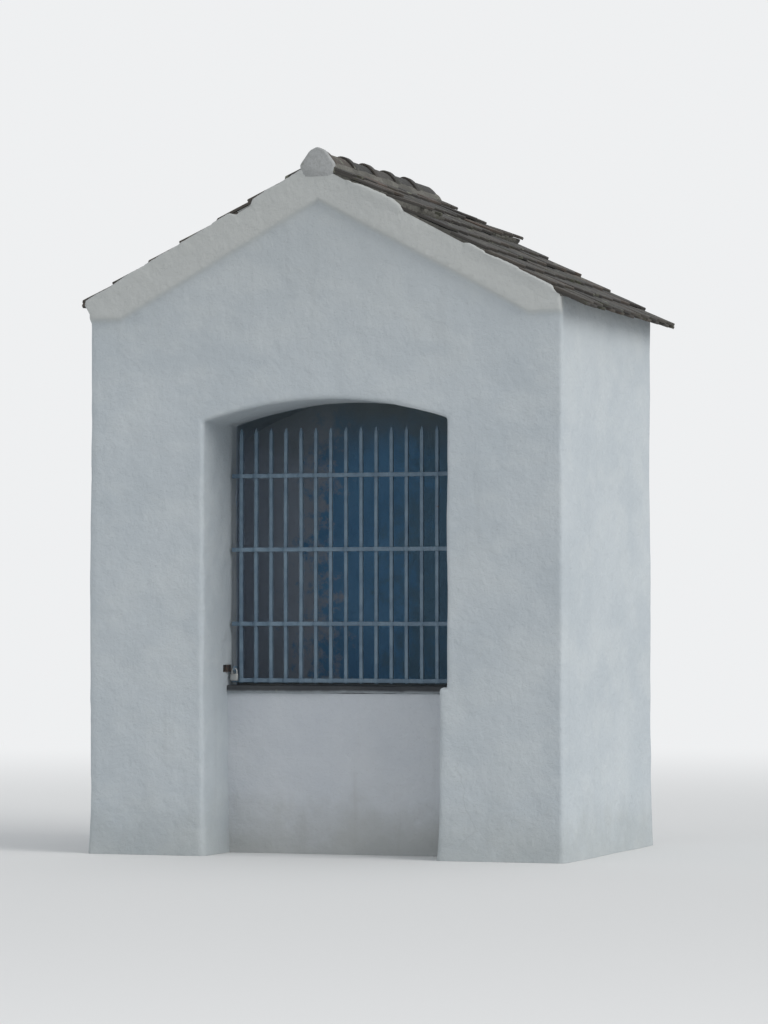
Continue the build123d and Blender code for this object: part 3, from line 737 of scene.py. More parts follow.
shade = wash(tree, sums(tree, "MULTIPLY", growth["Moss"], 0.6), shade, swatch(66, 70, 48))
tree.links.new(shade, shader.inputs["Base Color"])
tree.links.new(sums(tree, "MULTIPLY_ADD", fired, 0.2, 0.72), shader.inputs["Roughness"])
height = sums(tree, "MULTIPLY_ADD", growth["Moss"], 1.4, sums(tree, "MULTIPLY_ADD", fired, 0.8, grit))
relief(tree, shader, sums(tree, "MULTIPLY_ADD", growth["Crust"], 0.4, height), 0.0015, 0.9)
for side in (-1, 1):
    covering[side].data.materials.append(old_clay)


# Mortar under the tiles: at both verges and over the side walls the tiles lie in lime
# mortar that fills the steps between the courses, a finger back from their edges. The
# front run on the right rake is painted dark, as painted shade under the tile edges.
def bedding(name, side, down0, down1, y0, y1, courses, slope):
    """Stepped run of mortar under the tiles between two places down the slope."""
    gauge = slope / courses
    slant = (TILE_THICK + 0.0005) / gauge
    outline = [on_slope(side, down0, -0.004), on_slope(side, down1, -0.004)]
    for course in range(courses):
        tail = slope - course * gauge - 0.006
        head = tail - gauge
        if tail <= down0 + 0.001 or head >= down1 - 0.001:
            continue
        start, end = min(tail, down1), max(head, down0)
        outline.append(on_slope(side, start, 0.0245 - (tail - start) * slant))
        outline.append(on_slope(side, end, 0.0245 - (tail - end) * slant))
    bed = solid(name, outline if side > 0 else outline[::-1], y0, y1)
    bm = bmesh.new()
    bm.from_mesh(bed.data)
    divide(bm, 0.035, cad_box[0], cad_box[1])
    bm.normal_update()
    for vert in bm.verts:
        if vert.co.y < y0 + 0.001 or vert.co.y > y1 - 0.001:
            vert.co.y += unevenness(vert.co * 3, 0.0035, 0.003, 0.0015)
    settle(bm, bed)
    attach(bed, "shrine")
    return bed


mortar_pieces = []
for side, courses, eave in ((-1, 7, 1.295), (1, 8, 1.375)):
    label = "left" if side < 0 else "right"
    slope = abs(side * eave - RIDGE_X) / math.cos(PITCH)
    wall_end = abs(side * 1.25 - RIDGE_X) / math.cos(PITCH)
    mortar_pieces.append(bedding("verge_mortar_front_" + label, side, 0.02, wall_end, VERGE_FRONT + 0.016,
                                 -0.66, courses, slope))
    mortar_pieces.append(bedding("verge_mortar_back_" + label, side, 0.02, wall_end, 0.66,
                                 VERGE_BACK - 0.016, courses, slope))
    mortar_pieces.append(bedding("eave_mortar_" + label, side, wall_end - 0.17, wall_end - 0.004, -0.66, 0.66,
                                 courses, slope))

def mortar_finish(name, low_shade, high_shade, dirt_shade, dirt):
    """Rough lime mortar, from fresh and light to sooty and overgrown."""
    finish, tree, shader, where = new_finish(name)
    growth = use(tree, lichen_growth, Where=where, Size=30.0, Spread=0.50)
    coarse = speckle(tree, where, 70.0, 6, 0.7)
    clouds = speckle(tree, where, 5.0, 5)
    shade = wash(tree, between(tree, clouds, 0.3, 0.7), low_shade, high_shade)
    shade = wash(tree, sums(tree, "MULTIPLY", between(tree, coarse, 0.4, 0.7), dirt), shade, dirt_shade)
    shade = wash(tree, sums(tree, "MULTIPLY", growth["Crust"], 0.4), shade, swatch(112, 116, 100))
    shade = wash(tree, sums(tree, "MULTIPLY", growth["Moss"], dirt), shade, swatch(70, 74, 52))
    tree.links.new(shade, shader.inputs["Base Color"])
    tree.links.new(sums(tree, "MULTIPLY_ADD", clouds, 0.1, 0.85), shader.inputs["Roughness"])
    relief(tree, shader, sums(tree, "MULTIPLY_ADD", clouds, 0.6, coarse), 0.006)
    return finish


lime_mortar = mortar_finish("rough_lime_mortar", swatch(160, 163, 162), swatch(186, 188, 185),
                            swatch(136, 136, 130), 0.4)
# Dark mortar: sooty on the ridge, and painted shade where it lies under the tile edges at the front of the right
# verge.
sooty_and_shade_mortar = mortar_finish("sooty_mortar_with_painted_shade", swatch(84, 83, 78), swatch(120, 118, 111),
                             swatch(66, 64, 60), 0.7)
plug_mortar = mortar_finish("weathered_plug_mortar", swatch(156, 158, 158), swatch(176, 178, 178),
                            swatch(130, 130, 126), 0.35)
# The right verge's front run gets the dark mortar as painted shade under its tile edges.
for piece in mortar_pieces:
    shade_painted_run = piece.name == "verge_mortar_front_right"
    piece.data.materials.append(sooty_and_shade_mortar if shade_painted_run else lime_mortar)


# Pointing of the front verges: the lime coat of the band is drawn up over the edges of
# the tiles, all down the left rake but for one gap, and in two stretches on the right,
# near the ridge and above the eave. Slivers of dark tile show above it at each step.
def loft(bm, rings, capped=True):
    """Skins a run of closed rings of points, with flat ends."""
    laid = [[bm.verts.new(point) for point in ring] for ring in rings]
    count = len(rings[0])
    for near, far in zip(laid, laid[1:]):
        for i in range(count):
            j = (i + 1) % count
            bm.faces.new((near[i], near[j], far[j], far[i]))
    if capped:
        bm.faces.new(laid[0][::-1])
        bm.faces.new(laid[-1])
    return laid


def from_rings(name, runs, sharp=0.7):
    """Piece from several lofted runs of rings."""
    mesh = bpy.data.meshes.new(name)
    piece = bpy.data.objects.new(name, mesh)
    bpy.context.collection.objects.link(piece)
    bm = bmesh.new()
    for rings in runs:
        loft(bm, rings)
    bmesh.ops.recalc_face_normals(bm, faces=bm.faces)
    settle(bm, piece, sharp)
    return piece


def pointing_run(side, courses, eave, start, end, cover_at):
    """Ragged smear of mortar over the tile edges between two places down a rake."""
    slope = abs(side * eave - RIDGE_X) / math.cos(PITCH)
    gauge = slope / courses
    rings = []
    steps = int((end - start) / 0.0075)
    for i in range(steps + 1):
        down = start + (end - start) * i / steps
        from_tail = math.fmod(slope - down, gauge)
        cover = cover_at(down, from_tail, int((slope - down) / gauge)) * min(1, (end - down) / 0.02 + 0.3)
        cover = max(cover + 0.002 * noise.noise(Vector((down * 60, 4.2, side))), 0.002)
        face = VERGE_FRONT + 0.004 + 0.002 * noise.noise(Vector((down * 20, side, 3)))
        face += 0.009 * max(0, 1 - cover / 0.012)
        x, z = on_slope(side, down, 0)
        skin = WALL_FRONT - BAND_PROUD - unevenness(Vector((x, WALL_FRONT, z)), 0.0065, 0.0034, 0.0011)
        bare = max(0, 1 - cover / 0.012)
        fade = 0.044 + 0.012 * noise.noise(Vector((down * 14, 7.7, side)))
        ring = []
        for out, y in ((-fade - 0.014, skin + 0.012), (-fade - 0.014, skin + 0.0035), (-fade, skin + 0.004 * bare),
                       (-fade * 0.5, skin - 0.0016 * (1 - 3 * bare)), (-0.006, skin - 0.0042 * (1 - 2 * bare)),
                       (cover * 0.5, min(face, skin - 0.004 * (1 - 2 * bare))), (cover * 0.9, face + 0.003),
                       (cover, face + 0.008), (cover, VERGE_FRONT + 0.024)):
            px, pz = on_slope(side, down, out)
            ring.append((px, max(y, VERGE_FRONT + 0.0005), pz))
        rings.append(ring)
    piece = from_rings("verge_pointing_left" if side < 0 else "verge_pointing_right", [rings], 0.9)
    share = piece.data.attributes.new("band", "FLOAT", "POINT").data
    share.foreach_set("value", [1.0] * len(share))
    piece.data.materials.append(lime_plaster)
    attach(piece, "shrine")


def left_cover(down, from_tail, course):
    """Smear up to just under the top of each tile, gone from one stretch."""
    cover = 0.0275 - from_tail * 0.07 + 0.011 * min(1, from_tail / 0.12)
    cover -= 0.004 * noise.noise(Vector((down * 9, 1.7, -1)))
    bare = min(1, max(0, min(down - 0.375, 0.520 - down) / 0.03))
    return cover + bare * (0.004 + 0.003 * noise.noise(Vector((down * 25, 0, 0))) - cover)


# Height of the smear on the right rake, at places down the slope from the ridge
RIGHT_SMEAR = ((0.0, 0.001), (0.16, 0.001), (0.20, 0.010), (0.25, 0.021), (0.34, 0.027), (0.43, 0.033),
               (0.48, 0.024), (0.515, 0.001), (0.86, 0.001), (0.90, 0.017), (1.0, 0.012), (1.06, 0.018),
               (1.12, 0.021), (1.37, 0.022), (1.41, 0.001), (1.60, 0.001))


def right_cover(down, from_tail, course):
    """Two stretches of smear, near the ridge and above the eave, about flush with the undersides of the tiles."""
    for (above, cover0), (below, cover1) in zip(RIGHT_SMEAR, RIGHT_SMEAR[1:]):
        if above <= down <= below:
            cover = cover0 + (cover1 - cover0) * (down - above) / (below - above)
            return cover + 0.3 * (0.0075 - from_tail * 0.0735) * min(1, cover / 0.010)
    return 0


runs = []
for tail, left, right, raised in packed_runs:
    run = []
    for i in range(19):
        y = left + (right - left) * i / 18
        ragged = 0.006 + 0.005 * noise.noise(Vector((y * 30, tail * 9, 0)))
        ring = []
        for up, share in ((ragged + 0.004, 0), (ragged, 0.5), (ragged + 0.003, 1), (0.11, 1), (0.20, 1), (0.20, 0)):
            out = 0.0235 - up * 0.0735 + share * (raised + 0.002) * (1 - up / TILE_LENGTH)
            px, pz = on_slope(1, tail - up, out)
            ring.append((px, y, pz))
        run.append(ring)
    runs.append(run)
packing = from_rings("packing_under_high_tiles", runs, 0.9)
packing.data.materials.append(sooty_and_shade_mortar)
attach(packing, "shrine")

pointing_run(-1, 7, 1.295, 0.080, 1.420, left_cover)
pointing_run(1, 8, 1.375, 0.080, 1.425, right_cover)


# Ridge: five hollow clay tiles, slightly peaked, each with a socket towards the front
# that laps over the tail of the next. They lie in mortar pressed up along both sides,
# which also fills the back end, and a gabled lump of mortar closes the front end.
RIDGE_LEVEL = RIDGE_Z + 0.008
PEAKED = 0.09
ridge_draw = random.Random(23)
for number in range(1, 6):
    low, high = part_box(f"ridge_tile_{number}")
    tone = ridge_draw.random()
    skin = ([], [], [], [])
    points, faces, tones, edges = skin
    stations = [(0.0, 0.083, 0.073), (0.003, 0.085, 0.073), (0.062, 0.085, 0.073), (0.066, 0.0845, 0.0715),
                (0.072, 0.077, 0.0605), (0.080, 0.0725, 0.060), (0.20, 0.072, 0.060), (0.30, 0.072, 0.060),
                (high.y - low.y - 0.004, 0.072, 0.060), (high.y - low.y, 0.070, 0.060)]
    around = 20
    turn_off = ridge_draw.gauss(0, 0.004)
    for station, (along_y, outer, inner) in enumerate(stations):
        for shell, radius in enumerate((outer, inner)):
            for step in range(around + 1):
                angle = math.pi * step / around
                y = low.y + along_y
                bump = 0.0012 * noise.noise(Vector((angle * 2, y * 9, number * 5.0)))
                reach = radius + (bump - 0.001 if shell == 0 else 0)
                reach *= 0.93 - PEAKED * math.sin(2 * angle) ** 2
                drift = turn_off * (along_y - 0.17)
                points.append((RIDGE_X + reach * math.cos(angle) + drift, y,
                               RIDGE_LEVEL + reach * math.sin(angle)))
                tones.append(tone)
                edges.append(1.0 if station in (0, len(stations) - 1) or step in (0, around) else 0.0)
    row = around + 1
    for station in range(len(stations) - 1):
        for step in range(around):
            a = station * 2 * row + step
            b = a + 2 * row
            faces.append((a, a + 1, b + 1, b))
            faces.append((a + row, b + row, b + row + 1, a + row + 1))
        for step in (0, around):
            a = station * 2 * row + step
            b = a + 2 * row
            faces.append((a, b, b + row, a + row) if step == 0 else (a, a + row, b + row, b))
    for station in (0, len(stations) - 1):
        for step in range(around):
            a = station * 2 * row + step
            quad = (a, a + row, a + row + 1, a + 1)
            faces.append(quad if station == 0 else quad[::-1])
    ridge_tile = from_skin(f"half_round_tile_{number}", skin)
    ridge_tile.data.materials.append(old_clay)
    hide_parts(f"ridge_tile_{number}")
    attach(ridge_tile, "shrine")

PLUG_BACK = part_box("ridge_plug")[1].y
runs = []
for side in (-1, 1):
    rings = []
    steps = 90
    for i in range(steps + 1):
        y = PLUG_BACK + (VERGE_BACK - 0.003 - PLUG_BACK) * i / steps
        grow = 0.006 * noise.noise(Vector((y * 11, side * 3.0, 0))) + 0.002 * noise.noise(Vector((y * 45, side, 0)))
        foot, _ = on_slope(side, 0.118 + grow, 0)
        reach = abs(foot - RIDGE_X)
        stop = i >= steps - 1
        ring = []
        for x, rise in ((0.0, 0.0593 if stop else 0.040), (0.0383 if stop else 0.050, 0.0383 if stop else 0.020),
                        (0.0715, 0.012 + grow), (0.080, 0.002 + grow),
                        (reach - 0.010, -0.024), (reach, -0.034), (reach - 0.01, -0.065), (0.0, -0.010)):
            ring.append((RIDGE_X + side * x, y, RIDGE_LEVEL + rise))
        rings.append(ring)
    runs.append(rings)
bed = from_rings("ridge_mortar", runs, 1.2)
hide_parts("ridge_bedding")

low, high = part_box("ridge_plug")
plug_outline = [(0.0, high.z - RIDGE_Z), (0.009, 0.0915), (0.034, 0.080), (0.044, 0.071), (0.084, 0.016),
                (0.0895, 0.004), (0.088, -0.014), (0.084, -0.044), (0.062, -0.074)]
ring_shape = plug_outline + [(-x, z) for x, z in plug_outline[:0:-1]]
rings = []
for y, shrink in ((low.y + 0.0005, 0.25), (low.y, 0.50), (low.y + 0.0005, 0.75), (low.y + 0.002, 0.93),
                  (low.y + 0.006, 0.98), (low.y + 0.012, 1.0), (high.y + 0.004, 1.0)):
    ring = []
    for x, z in ring_shape:
        z = z * shrink - (1 - shrink) * 0.004
        wobble = 1 + 0.03 * noise.noise(Vector((x * 30, z * 30, 2.2)))
        sunk = min(1, max(0, (-0.024 - z) / 0.050))
        run_out = 0.020 * sunk * sunk * (3 - 2 * sunk) * (y < high.y)
        dent = 0.0015 + 0.0015 * noise.noise(Vector((x * shrink * 35, 1.1, z * 35)))
        ring.append((RIDGE_X + x * shrink * wobble, max(y + run_out + dent, low.y), RIDGE_Z + z))
    rings.append(ring)
plug = from_rings("ridge_end_plug", [rings], 0.5)
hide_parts("ridge_plug")
for piece, finish in ((bed, sooty_and_shade_mortar), (plug, plug_mortar)):
    piece.data.materials.append(finish)
    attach(piece, "shrine")


# Gate leaf: forged from fifteen square bars passed through punched eyes in four square
# rails, the bars drawn out to blunt points above. One thin coat of grey-blue paint,
# with rust where the water stands.
GATE_Y = (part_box("gate_bars")[0].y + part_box("gate_bars")[1].y) / 2
BAR, BAR_FOOT, BAR_TOP, BAR_POINT = 0.018, 0.860, 2.160, 0.026
BAR_PLACES = [-0.0045 + 0.081 * (i - 7) for i in range(15)]
bar_draw = random.Random(5)


def chamfered(half_x, half_y, cut):
    """Corners of a bar's section with its arrises taken off."""
    return [(half_x - cut, -half_y), (half_x, -half_y + cut), (half_x, half_y - cut), (half_x - cut, half_y),
            (-half_x + cut, half_y), (-half_x, half_y - cut), (-half_x, -half_y + cut), (-half_x + cut, -half_y)]


runs = []
for x in BAR_PLACES:
    rings = []
    lean = bar_draw.gauss(0, 0.0012)
    seed = bar_draw.random() * 40
    heights = [BAR_FOOT, BAR_FOOT + 0.0015]
    heights += [BAR_FOOT + 0.03 + 0.0465 * i for i in range(27)]
    heights += [BAR_TOP - BAR_POINT, BAR_TOP - BAR_POINT * 0.5, BAR_TOP - 0.003, BAR_TOP]
    for z in heights:
        taper = 1.0
        if z > BAR_TOP - BAR_POINT:
            taper = 1 - 0.78 * (z - BAR_TOP + BAR_POINT) / BAR_POINT
        if z < BAR_FOOT + 0.001:
            taper = 0.84
        half = BAR / 2 * taper * (1 + 0.05 * noise.noise(Vector((seed, z * 16, 0))))
        off_x = lean * math.sin((z - BAR_FOOT) * 2.4) + 0.0007 * noise.noise(Vector((seed, 0, z * 5)))
        off_y = 0.0006 * noise.noise(Vector((0, seed, z * 6)))
        rings.append([(x + off_x + px, GATE_Y + off_y + py, z) for px, py in chamfered(half, half, 0.0016 * taper)])
    runs.append(rings)
bars = from_rings("forged_bars", runs, 0.6)
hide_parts("gate_bars")

runs = []
for level in (0.875, 1.163, 1.541, 1.917):
    stations = [(-0.6215, 0.010), (-0.620, 0.011)]
    for x in BAR_PLACES:
        for off, swell in ((-0.020, 0.011), (-0.016, 0.0122), (-0.012, 0.0148), (-0.006, 0.0168), (0, 0.0176),
                           (0.006, 0.0168), (0.012, 0.0148), (0.016, 0.0122)):
            if x + off < 0.587:
                stations.append((x + off, swell))
    stations += [(0.5885, 0.011), (0.590, 0.010)]
    rings = []
    for x, half in stations:
        wave = 0.0006 * noise.noise(Vector((x * 9, level * 7, 0)))
        sag = 0.0008 * noise.noise(Vector((x * 4, level * 3, 5)))
        rings.append([(x, GATE_Y + wave + py, level + sag + pz)
                      for py, pz in chamfered(half, 0.0108, 0.0016)])
    runs.append(rings)
rails = from_rings("punched_rails", runs, 0.6)
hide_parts("gate_rails")


def turned(x, y, profile, sides=28):
    """Rings of a round piece about an upright axis; the profile is (radius, height)."""
    return [[(x + radius * math.cos(2 * math.pi * i / sides), y + radius * math.sin(2 * math.pi * i / sides), z)
             for i in range(sides)] for radius, z in profile]


def upright_block(x0, x1, y0, y1, z0, z1, cut):
    """Rings of a block with its arrises taken off."""
    mx, my, hx, hy = (x0 + x1) / 2, (y0 + y1) / 2, (x1 - x0) / 2, (y1 - y0) / 2
    rings = []
    for z, inset in ((z0, cut), (z0 + cut, 0), (z1 - cut, 0), (z1, cut)):
        rings.append([(mx + px, my + py, z) for px, py in chamfered(hx - inset, hy - inset, cut)])
    return rings


HINGE_X = 0.620
leaf_pieces = [bars, rails]
for label, level in (("lower", 1.163), ("upper", 1.917)):
    z0, z1 = level - 0.011, level + 0.011
    eye = from_rings(f"hinge_eye_{label}", [
        turned(HINGE_X, GATE_Y, [(0.0155, z0), (0.017, z0 + 0.0015), (0.0173, level), (0.017, z1 - 0.0015),
                                 (0.0155, z1)], 36),
        upright_block(0.586, HINGE_X - 0.010, GATE_Y - 0.006, GATE_Y + 0.006, z0 + 0.0005, z1 - 0.0005, 0.0012)], 0.7)
    bore = from_rings("bore", [turned(HINGE_X, GATE_Y, [(0.0083, z0 - 0.01), (0.0083, z1 + 0.01)], 36)])
    carve(eye, bore)
    for polygon in eye.data.polygons:
        polygon.use_smooth = False
    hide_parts(f"gate_hinge_eye_{label}")
    leaf_pieces.append(eye)

# Rust on painted iron: it blooms from arrises, joints and wherever water stands
rust_bloom, given, result = new_group(
    "rust_bloom",
    [("Where", "Vector", (0, 0, 0)), ("Amount", "Float", 0.3)],
    [("Bloom", "Float"), ("Tint", "Color"), ("Scale", "Float")])
broad = speckle(rust_bloom, given["Where"], 9.0, 8, 0.7)
small = speckle(rust_bloom, given["Where"], 70.0, 6, 0.7)
mixed = sums(rust_bloom, "MULTIPLY_ADD", small, 0.35, sums(rust_bloom, "MULTIPLY", broad, 0.65))
edge = sums(rust_bloom, "MULTIPLY_ADD", given["Amount"], 1.0, mixed)
rust_bloom.links.new(between(rust_bloom, edge, 0.80, 0.90), result["Bloom"])
rust_bloom.links.new(wash(rust_bloom, small, swatch(72, 44, 30), swatch(128, 80, 48)), result["Tint"])
rust_bloom.links.new(small, result["Scale"])

leaf_paint, tree, shader, where = new_finish("grey_blue_iron_paint")
rust = use(tree, rust_bloom, Where=where, Amount=0.20)
chalk = speckle(tree, where, 14.0, 6, 0.6)
hammer = speckle(tree, where, 55.0, 2, 0.4)
shade = wash(tree, between(tree, chalk, 0.3, 0.7), swatch(90, 111, 129), swatch(112, 133, 149))
shade = wash(tree, sums(tree, "MULTIPLY", rust["Bloom"], 0.8), shade, rust["Tint"])
tree.links.new(shade, shader.inputs["Base Color"])
tree.links.new(sums(tree, "MULTIPLY_ADD", rust["Bloom"], 0.3, 0.52), shader.inputs["Roughness"])
height = sums(tree, "MULTIPLY_ADD", rust["Scale"], 0.3, hammer)
relief(tree, shader, sums(tree, "MULTIPLY_ADD", rust["Bloom"], 0.5, height), 0.0006, 0.8)

lug_x = -0.598
runs = []
for x, inset in ((lug_x - 0.003, 0.0012), (lug_x - 0.0018, 0), (lug_x + 0.0018, 0), (lug_x + 0.003, 0.0012)):
    side_view = [(0.011, 0.886), (0.011, 0.935), (0.005, 0.944), (-0.005, 0.948), (-0.036, 0.948),
                 (-0.043, 0.9445), (-0.045, 0.936), (-0.042, 0.927), (-0.034, 0.922), (-0.016, 0.914),
                 (-0.011, 0.905), (-0.011, 0.886)]
    middle_y = -0.018
    runs.append([(x, GATE_Y + y + (inset if y < middle_y else -inset), z - inset * (1 if z > 0.93 else -1))
                 for y, z in side_view])
lock_lug = from_rings("lock_lug_of_leaf", [runs], 0.6)
hole = [[(x, GATE_Y - 0.033 + 0.005 * math.cos(i * math.pi / 10), 0.936 + 0.005 * math.sin(i * math.pi / 10))
         for i in range(20)] for x in (lug_x - 0.01, lug_x + 0.01)]
carve(lock_lug, from_rings("lug_hole", [hole]))
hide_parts("gate_lock_lug")
leaf_pieces.append(lock_lug)
for piece in leaf_pieces:
    piece.data.materials.clear()
    piece.data.materials.append(leaf_paint)
    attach(piece, "gate")


# Ironwork in the jambs: two pintles driven into the right one, which carry the leaf,
# and a cranked strap on the left one whose ear stands beside the lug of the leaf.
# Black paint long since gone to rust at its edges.
jamb_pieces = []
for label, level in (("lower", 1.163), ("upper", 1.917)):
    seat = level - 0.011 - 0.0003
    tip = level + 0.011 + 0.016
    pin = turned(HINGE_X, GATE_Y, [(0.008, seat - 0.004), (0.008, tip - 0.003), (0.0068, tip - 0.0008), (0.005, tip)])
    collar = turned(HINGE_X, GATE_Y, [(0.0128, seat - 0.008), (0.014, seat - 0.0068), (0.014, seat - 0.0012),
                                      (0.0128, seat)])
    shank = upright_block(HINGE_X - 0.0085, JAMB_RIGHT + 0.058, GATE_Y - 0.008, GATE_Y + 0.008,
                          seat - 0.024, seat - 0.0078, 0.0012)
    pintle = from_rings(f"driven_pintle_{label}", [shank, collar, pin], 0.6)
    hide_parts(f"pintle_{label}")
    jamb_pieces.append(pintle)

low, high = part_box("jamb_lock_lug")
ear_y = high.y
crank = ear_y - 0.0375
plan = [(low.x, low.y), (low.x + 0.004, low.y), (low.x + 0.004, crank - 0.006), (low.x + 0.006, crank - 0.004),
        (high.x - 0.002, crank - 0.004), (high.x, crank - 0.002), (high.x, ear_y), (high.x - 0.004, ear_y),
        (high.x - 0.004, crank + 0.0015), (high.x - 0.0055, crank), (low.x + 0.002, crank), (low.x, crank - 0.002)]
rings = []
for z, inset in ((low.z, 0.0008), (low.z + 0.0012, 0), (high.z - 0.0012, 0), (high.z, 0.0008)):
    rings.append([(x, y + (inset if y < low.y + 0.01 else -inset if y > ear_y - 0.01 else 0), z) for x, y in plan])
strap = from_rings("strap_on_left_jamb", [rings], 0.6)
hole = [[(x, GATE_Y - 0.033 + 0.005 * math.cos(i * math.pi / 10), 0.936 + 0.005 * math.sin(i * math.pi / 10))
         for i in range(20)] for x in (high.x - 0.008, high.x + 0.004)]
carve(strap, from_rings("strap_hole", [hole]))
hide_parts("jamb_lock_lug")
jamb_pieces.append(strap)

rusty_black, tree, shader, where = new_finish("black_paint_gone_to_rust")
rust = use(tree, rust_bloom, Where=where, Amount=0.34)
shade = wash(tree, speckle(tree, where, 30.0, 5), swatch(38, 37, 37), swatch(58, 55, 53))
shade = wash(tree, rust["Bloom"], shade, rust["Tint"])
tree.links.new(shade, shader.inputs["Base Color"])
tree.links.new(sums(tree, "MULTIPLY_ADD", rust["Bloom"], 0.35, 0.48), shader.inputs["Roughness"])
relief(tree, shader, sums(tree, "MULTIPLY_ADD", rust["Bloom"], 0.6, rust["Scale"]), 0.0007, 0.8)
for piece in jamb_pieces:
    piece.data.materials.clear()
    piece.data.materials.append(rusty_black)
    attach(piece, "shrine")


# Padlock: a small plated steel lock with a round bow, hung in the lug of the leaf and
# dulled by the weather. Its keyhole is underneath.
low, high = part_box("padlock_body")
middle_x, middle_y = (low.x + high.x) / 2, (low.y + high.y) / 2
half_x, half_y = (high.x - low.x) / 2, (high.y - low.y) / 2
rings = []
for z, inset in ((low.z, 0.0030), (low.z + 0.0012, 0.0012), (low.z + 0.0035, 0), (low.z + 0.010, 0),
                 (low.z + 0.0108, 0.0006), (low.z + 0.0116, 0), (high.z - 0.0116, 0), (high.z - 0.0108, 0.0006),
                 (high.z - 0.010, 0), (high.z - 0.003, 0), (high.z - 0.001, 0.0010), (high.z, 0.0026)):
    ring = []
    for corner_x, corner_y, first in ((1, -1, -90), (1, 1, 0), (-1, 1, 90), (-1, -1, 180)):
        for step in range(6):
            angle = math.radians(first + 18 * step)
            ring.append((middle_x + corner_x * (half_x - 0.005) + (0.005 - inset) * math.cos(angle),
                         middle_y + corner_y * (half_y - 0.005) + (0.005 - inset) * math.sin(angle), z))
    rings.append(ring)
lock_body = from_rings("padlock_case", [rings], 0.6)
keyway = from_rings("keyway", [upright_block(middle_x - 0.0008, middle_x + 0.0008, middle_y - 0.004,
                                             middle_y + 0.004, low.z - 0.002, low.z + 0.006, 0.0003)])
carve(lock_body, keyway)
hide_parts("padlock_body")

low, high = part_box("padlock_shackle")
bow_radius = 0.0035
spread = (high.x - low.x) / 2 - bow_radius
spring = high.z - bow_radius - spread
path = [(-spread, low.z, 0.0), (-spread, (low.z + spring) / 2, 0.0)]
path += [(-spread * math.cos(math.pi * i / 16), spring + spread * math.sin(math.pi * i / 16), math.pi * i / 16)
         for i in range(17)]
path += [(spread, (low.z + spring) / 2, math.pi), (spread, low.z, math.pi)]
rings = []
for x, z, turn in path:
    ring = []
    for i in range(14):
        angle = 2 * math.pi * i / 14
        away = bow_radius * math.cos(angle)
        ring.append((middle_x + x - away * math.cos(turn), middle_y + bow_radius * math.sin(angle),
                     z + away * math.sin(turn)))
    rings.append(ring)
bow = from_rings("padlock_bow", [rings], 0.9)
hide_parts("padlock_shackle")

dull_steel, tree, shader, where = new_finish("dull_plated_steel")
rust = use(tree, rust_bloom, Where=where, Amount=0.16)
brushed = speckle(tree, where, 1.0, 3, 0.6, (120, 120, 1400))
shade = wash(tree, brushed, swatch(168, 168, 166), swatch(200, 200, 197))
shade = wash(tree, sums(tree, "MULTIPLY", rust["Bloom"], 0.7), shade, rust["Tint"])
tree.links.new(shade, shader.inputs["Base Color"])
tree.links.new(sums(tree, "MULTIPLY_ADD", rust["Bloom"], -0.85, 0.9), shader.inputs["Metallic"])
tree.links.new(sums(tree, "MULTIPLY_ADD", rust["Bloom"], 0.4, 0.36), shader.inputs["Roughness"])
relief(tree, shader, brushed, 0.0002, 0.6)
for piece in (lock_body, bow):
    piece.data.materials.clear()
    piece.data.materials.append(dull_steel)
    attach(piece, "gate")


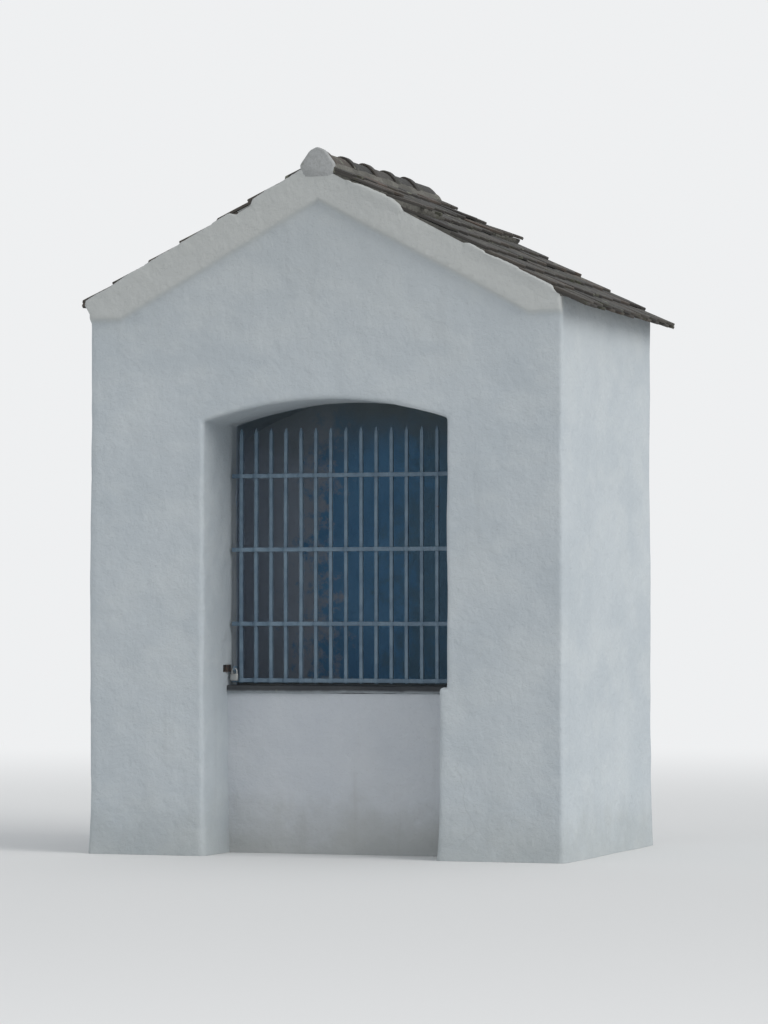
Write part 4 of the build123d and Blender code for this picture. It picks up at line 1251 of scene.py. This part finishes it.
# Studio: a pale floor, a soft pale surround, one wide soft lamp high on the right that
# leaves the front in gentle shade, and a camera low at standing height on the right.
floor_mesh = bpy.data.meshes.new("studio_floor")
floor_mesh.from_pydata([(-60, -60, -0.0006), (60, -60, -0.0006), (60, 60, -0.0006), (-60, 60, -0.0006)], [],
                       [(0, 1, 2, 3)])
floor = bpy.data.objects.new("studio_floor", floor_mesh)
bpy.context.collection.objects.link(floor)
floor_paint, tree, shader, where = new_finish("pale_floor")
shader.inputs["Base Color"].default_value = (0.78, 0.78, 0.77, 1)
shader.inputs["Roughness"].default_value = 0.95
shader.inputs["Specular IOR Level"].default_value = 0.1
far = place(tree, "VectorMath", {0: where}, operation="LENGTH").outputs["Value"]
glow = place(tree, "Emission", {"Color": (0.86, 0.87, 0.88, 1), "Strength": 1.0}).outputs[0]
camera_ray = place(tree, "LightPath").outputs["Is Camera Ray"]
blend = sums(tree, "MULTIPLY", between(tree, far, 4.0, 17.0), camera_ray)
mixed = place(tree, "MixShader", {0: blend, 1: shader.outputs[0], 2: glow}).outputs[0]
tree.links.new(mixed, tree.nodes["Material Output"].inputs["Surface"])
floor_mesh.materials.append(floor_paint)

world = bpy.data.worlds.new("pale_surround")
bpy.context.scene.world = world
world.use_nodes = True
tree = world.node_tree
tree.nodes.clear()
rays = place(tree, "LightPath").outputs
seen = sums(tree, "MAXIMUM", rays["Is Camera Ray"], sums(tree, "MAXIMUM", rays["Is Glossy Ray"],
                                                        rays["Is Transmission Ray"]))
soft = place(tree, "Background", {"Color": (0.93, 0.96, 1.0, 1), "Strength": 0.66}).outputs[0]
white = place(tree, "Background", {"Color": (0.86, 0.87, 0.88, 1), "Strength": 1.0}).outputs[0]
shown = place(tree, "MixShader", {0: seen, 1: soft, 2: white}).outputs[0]
place(tree, "OutputWorld", {"Surface": shown})

lamp = bpy.data.lights.new("soft_lamp", "SUN")
lamp.energy = 1.35
lamp.angle = math.radians(38)
lamp.color = (1.0, 0.985, 0.965)
lamp_stand = bpy.data.objects.new("soft_lamp", lamp)
bpy.context.collection.objects.link(lamp_stand)
lamp_stand.rotation_euler = Vector((0.90, -0.24, 0.55)).to_track_quat("Z", "Y").to_euler()

scene = bpy.context.scene
scene.view_settings.view_transform = "Standard"
camera = bpy.data.cameras.new("standing_view")
camera.lens = 139
camera.sensor_width = 36
camera.clip_end = 400
viewer = bpy.data.objects.new("standing_view", camera)
bpy.context.collection.objects.link(viewer)
viewer.location = (6.678, -19.325, 1.194)
aim = Vector((0.045, 0.0, 1.74))
viewer.rotation_euler = (aim - viewer.location).to_track_quat("-Z", "Y").to_euler()
scene.camera = viewer
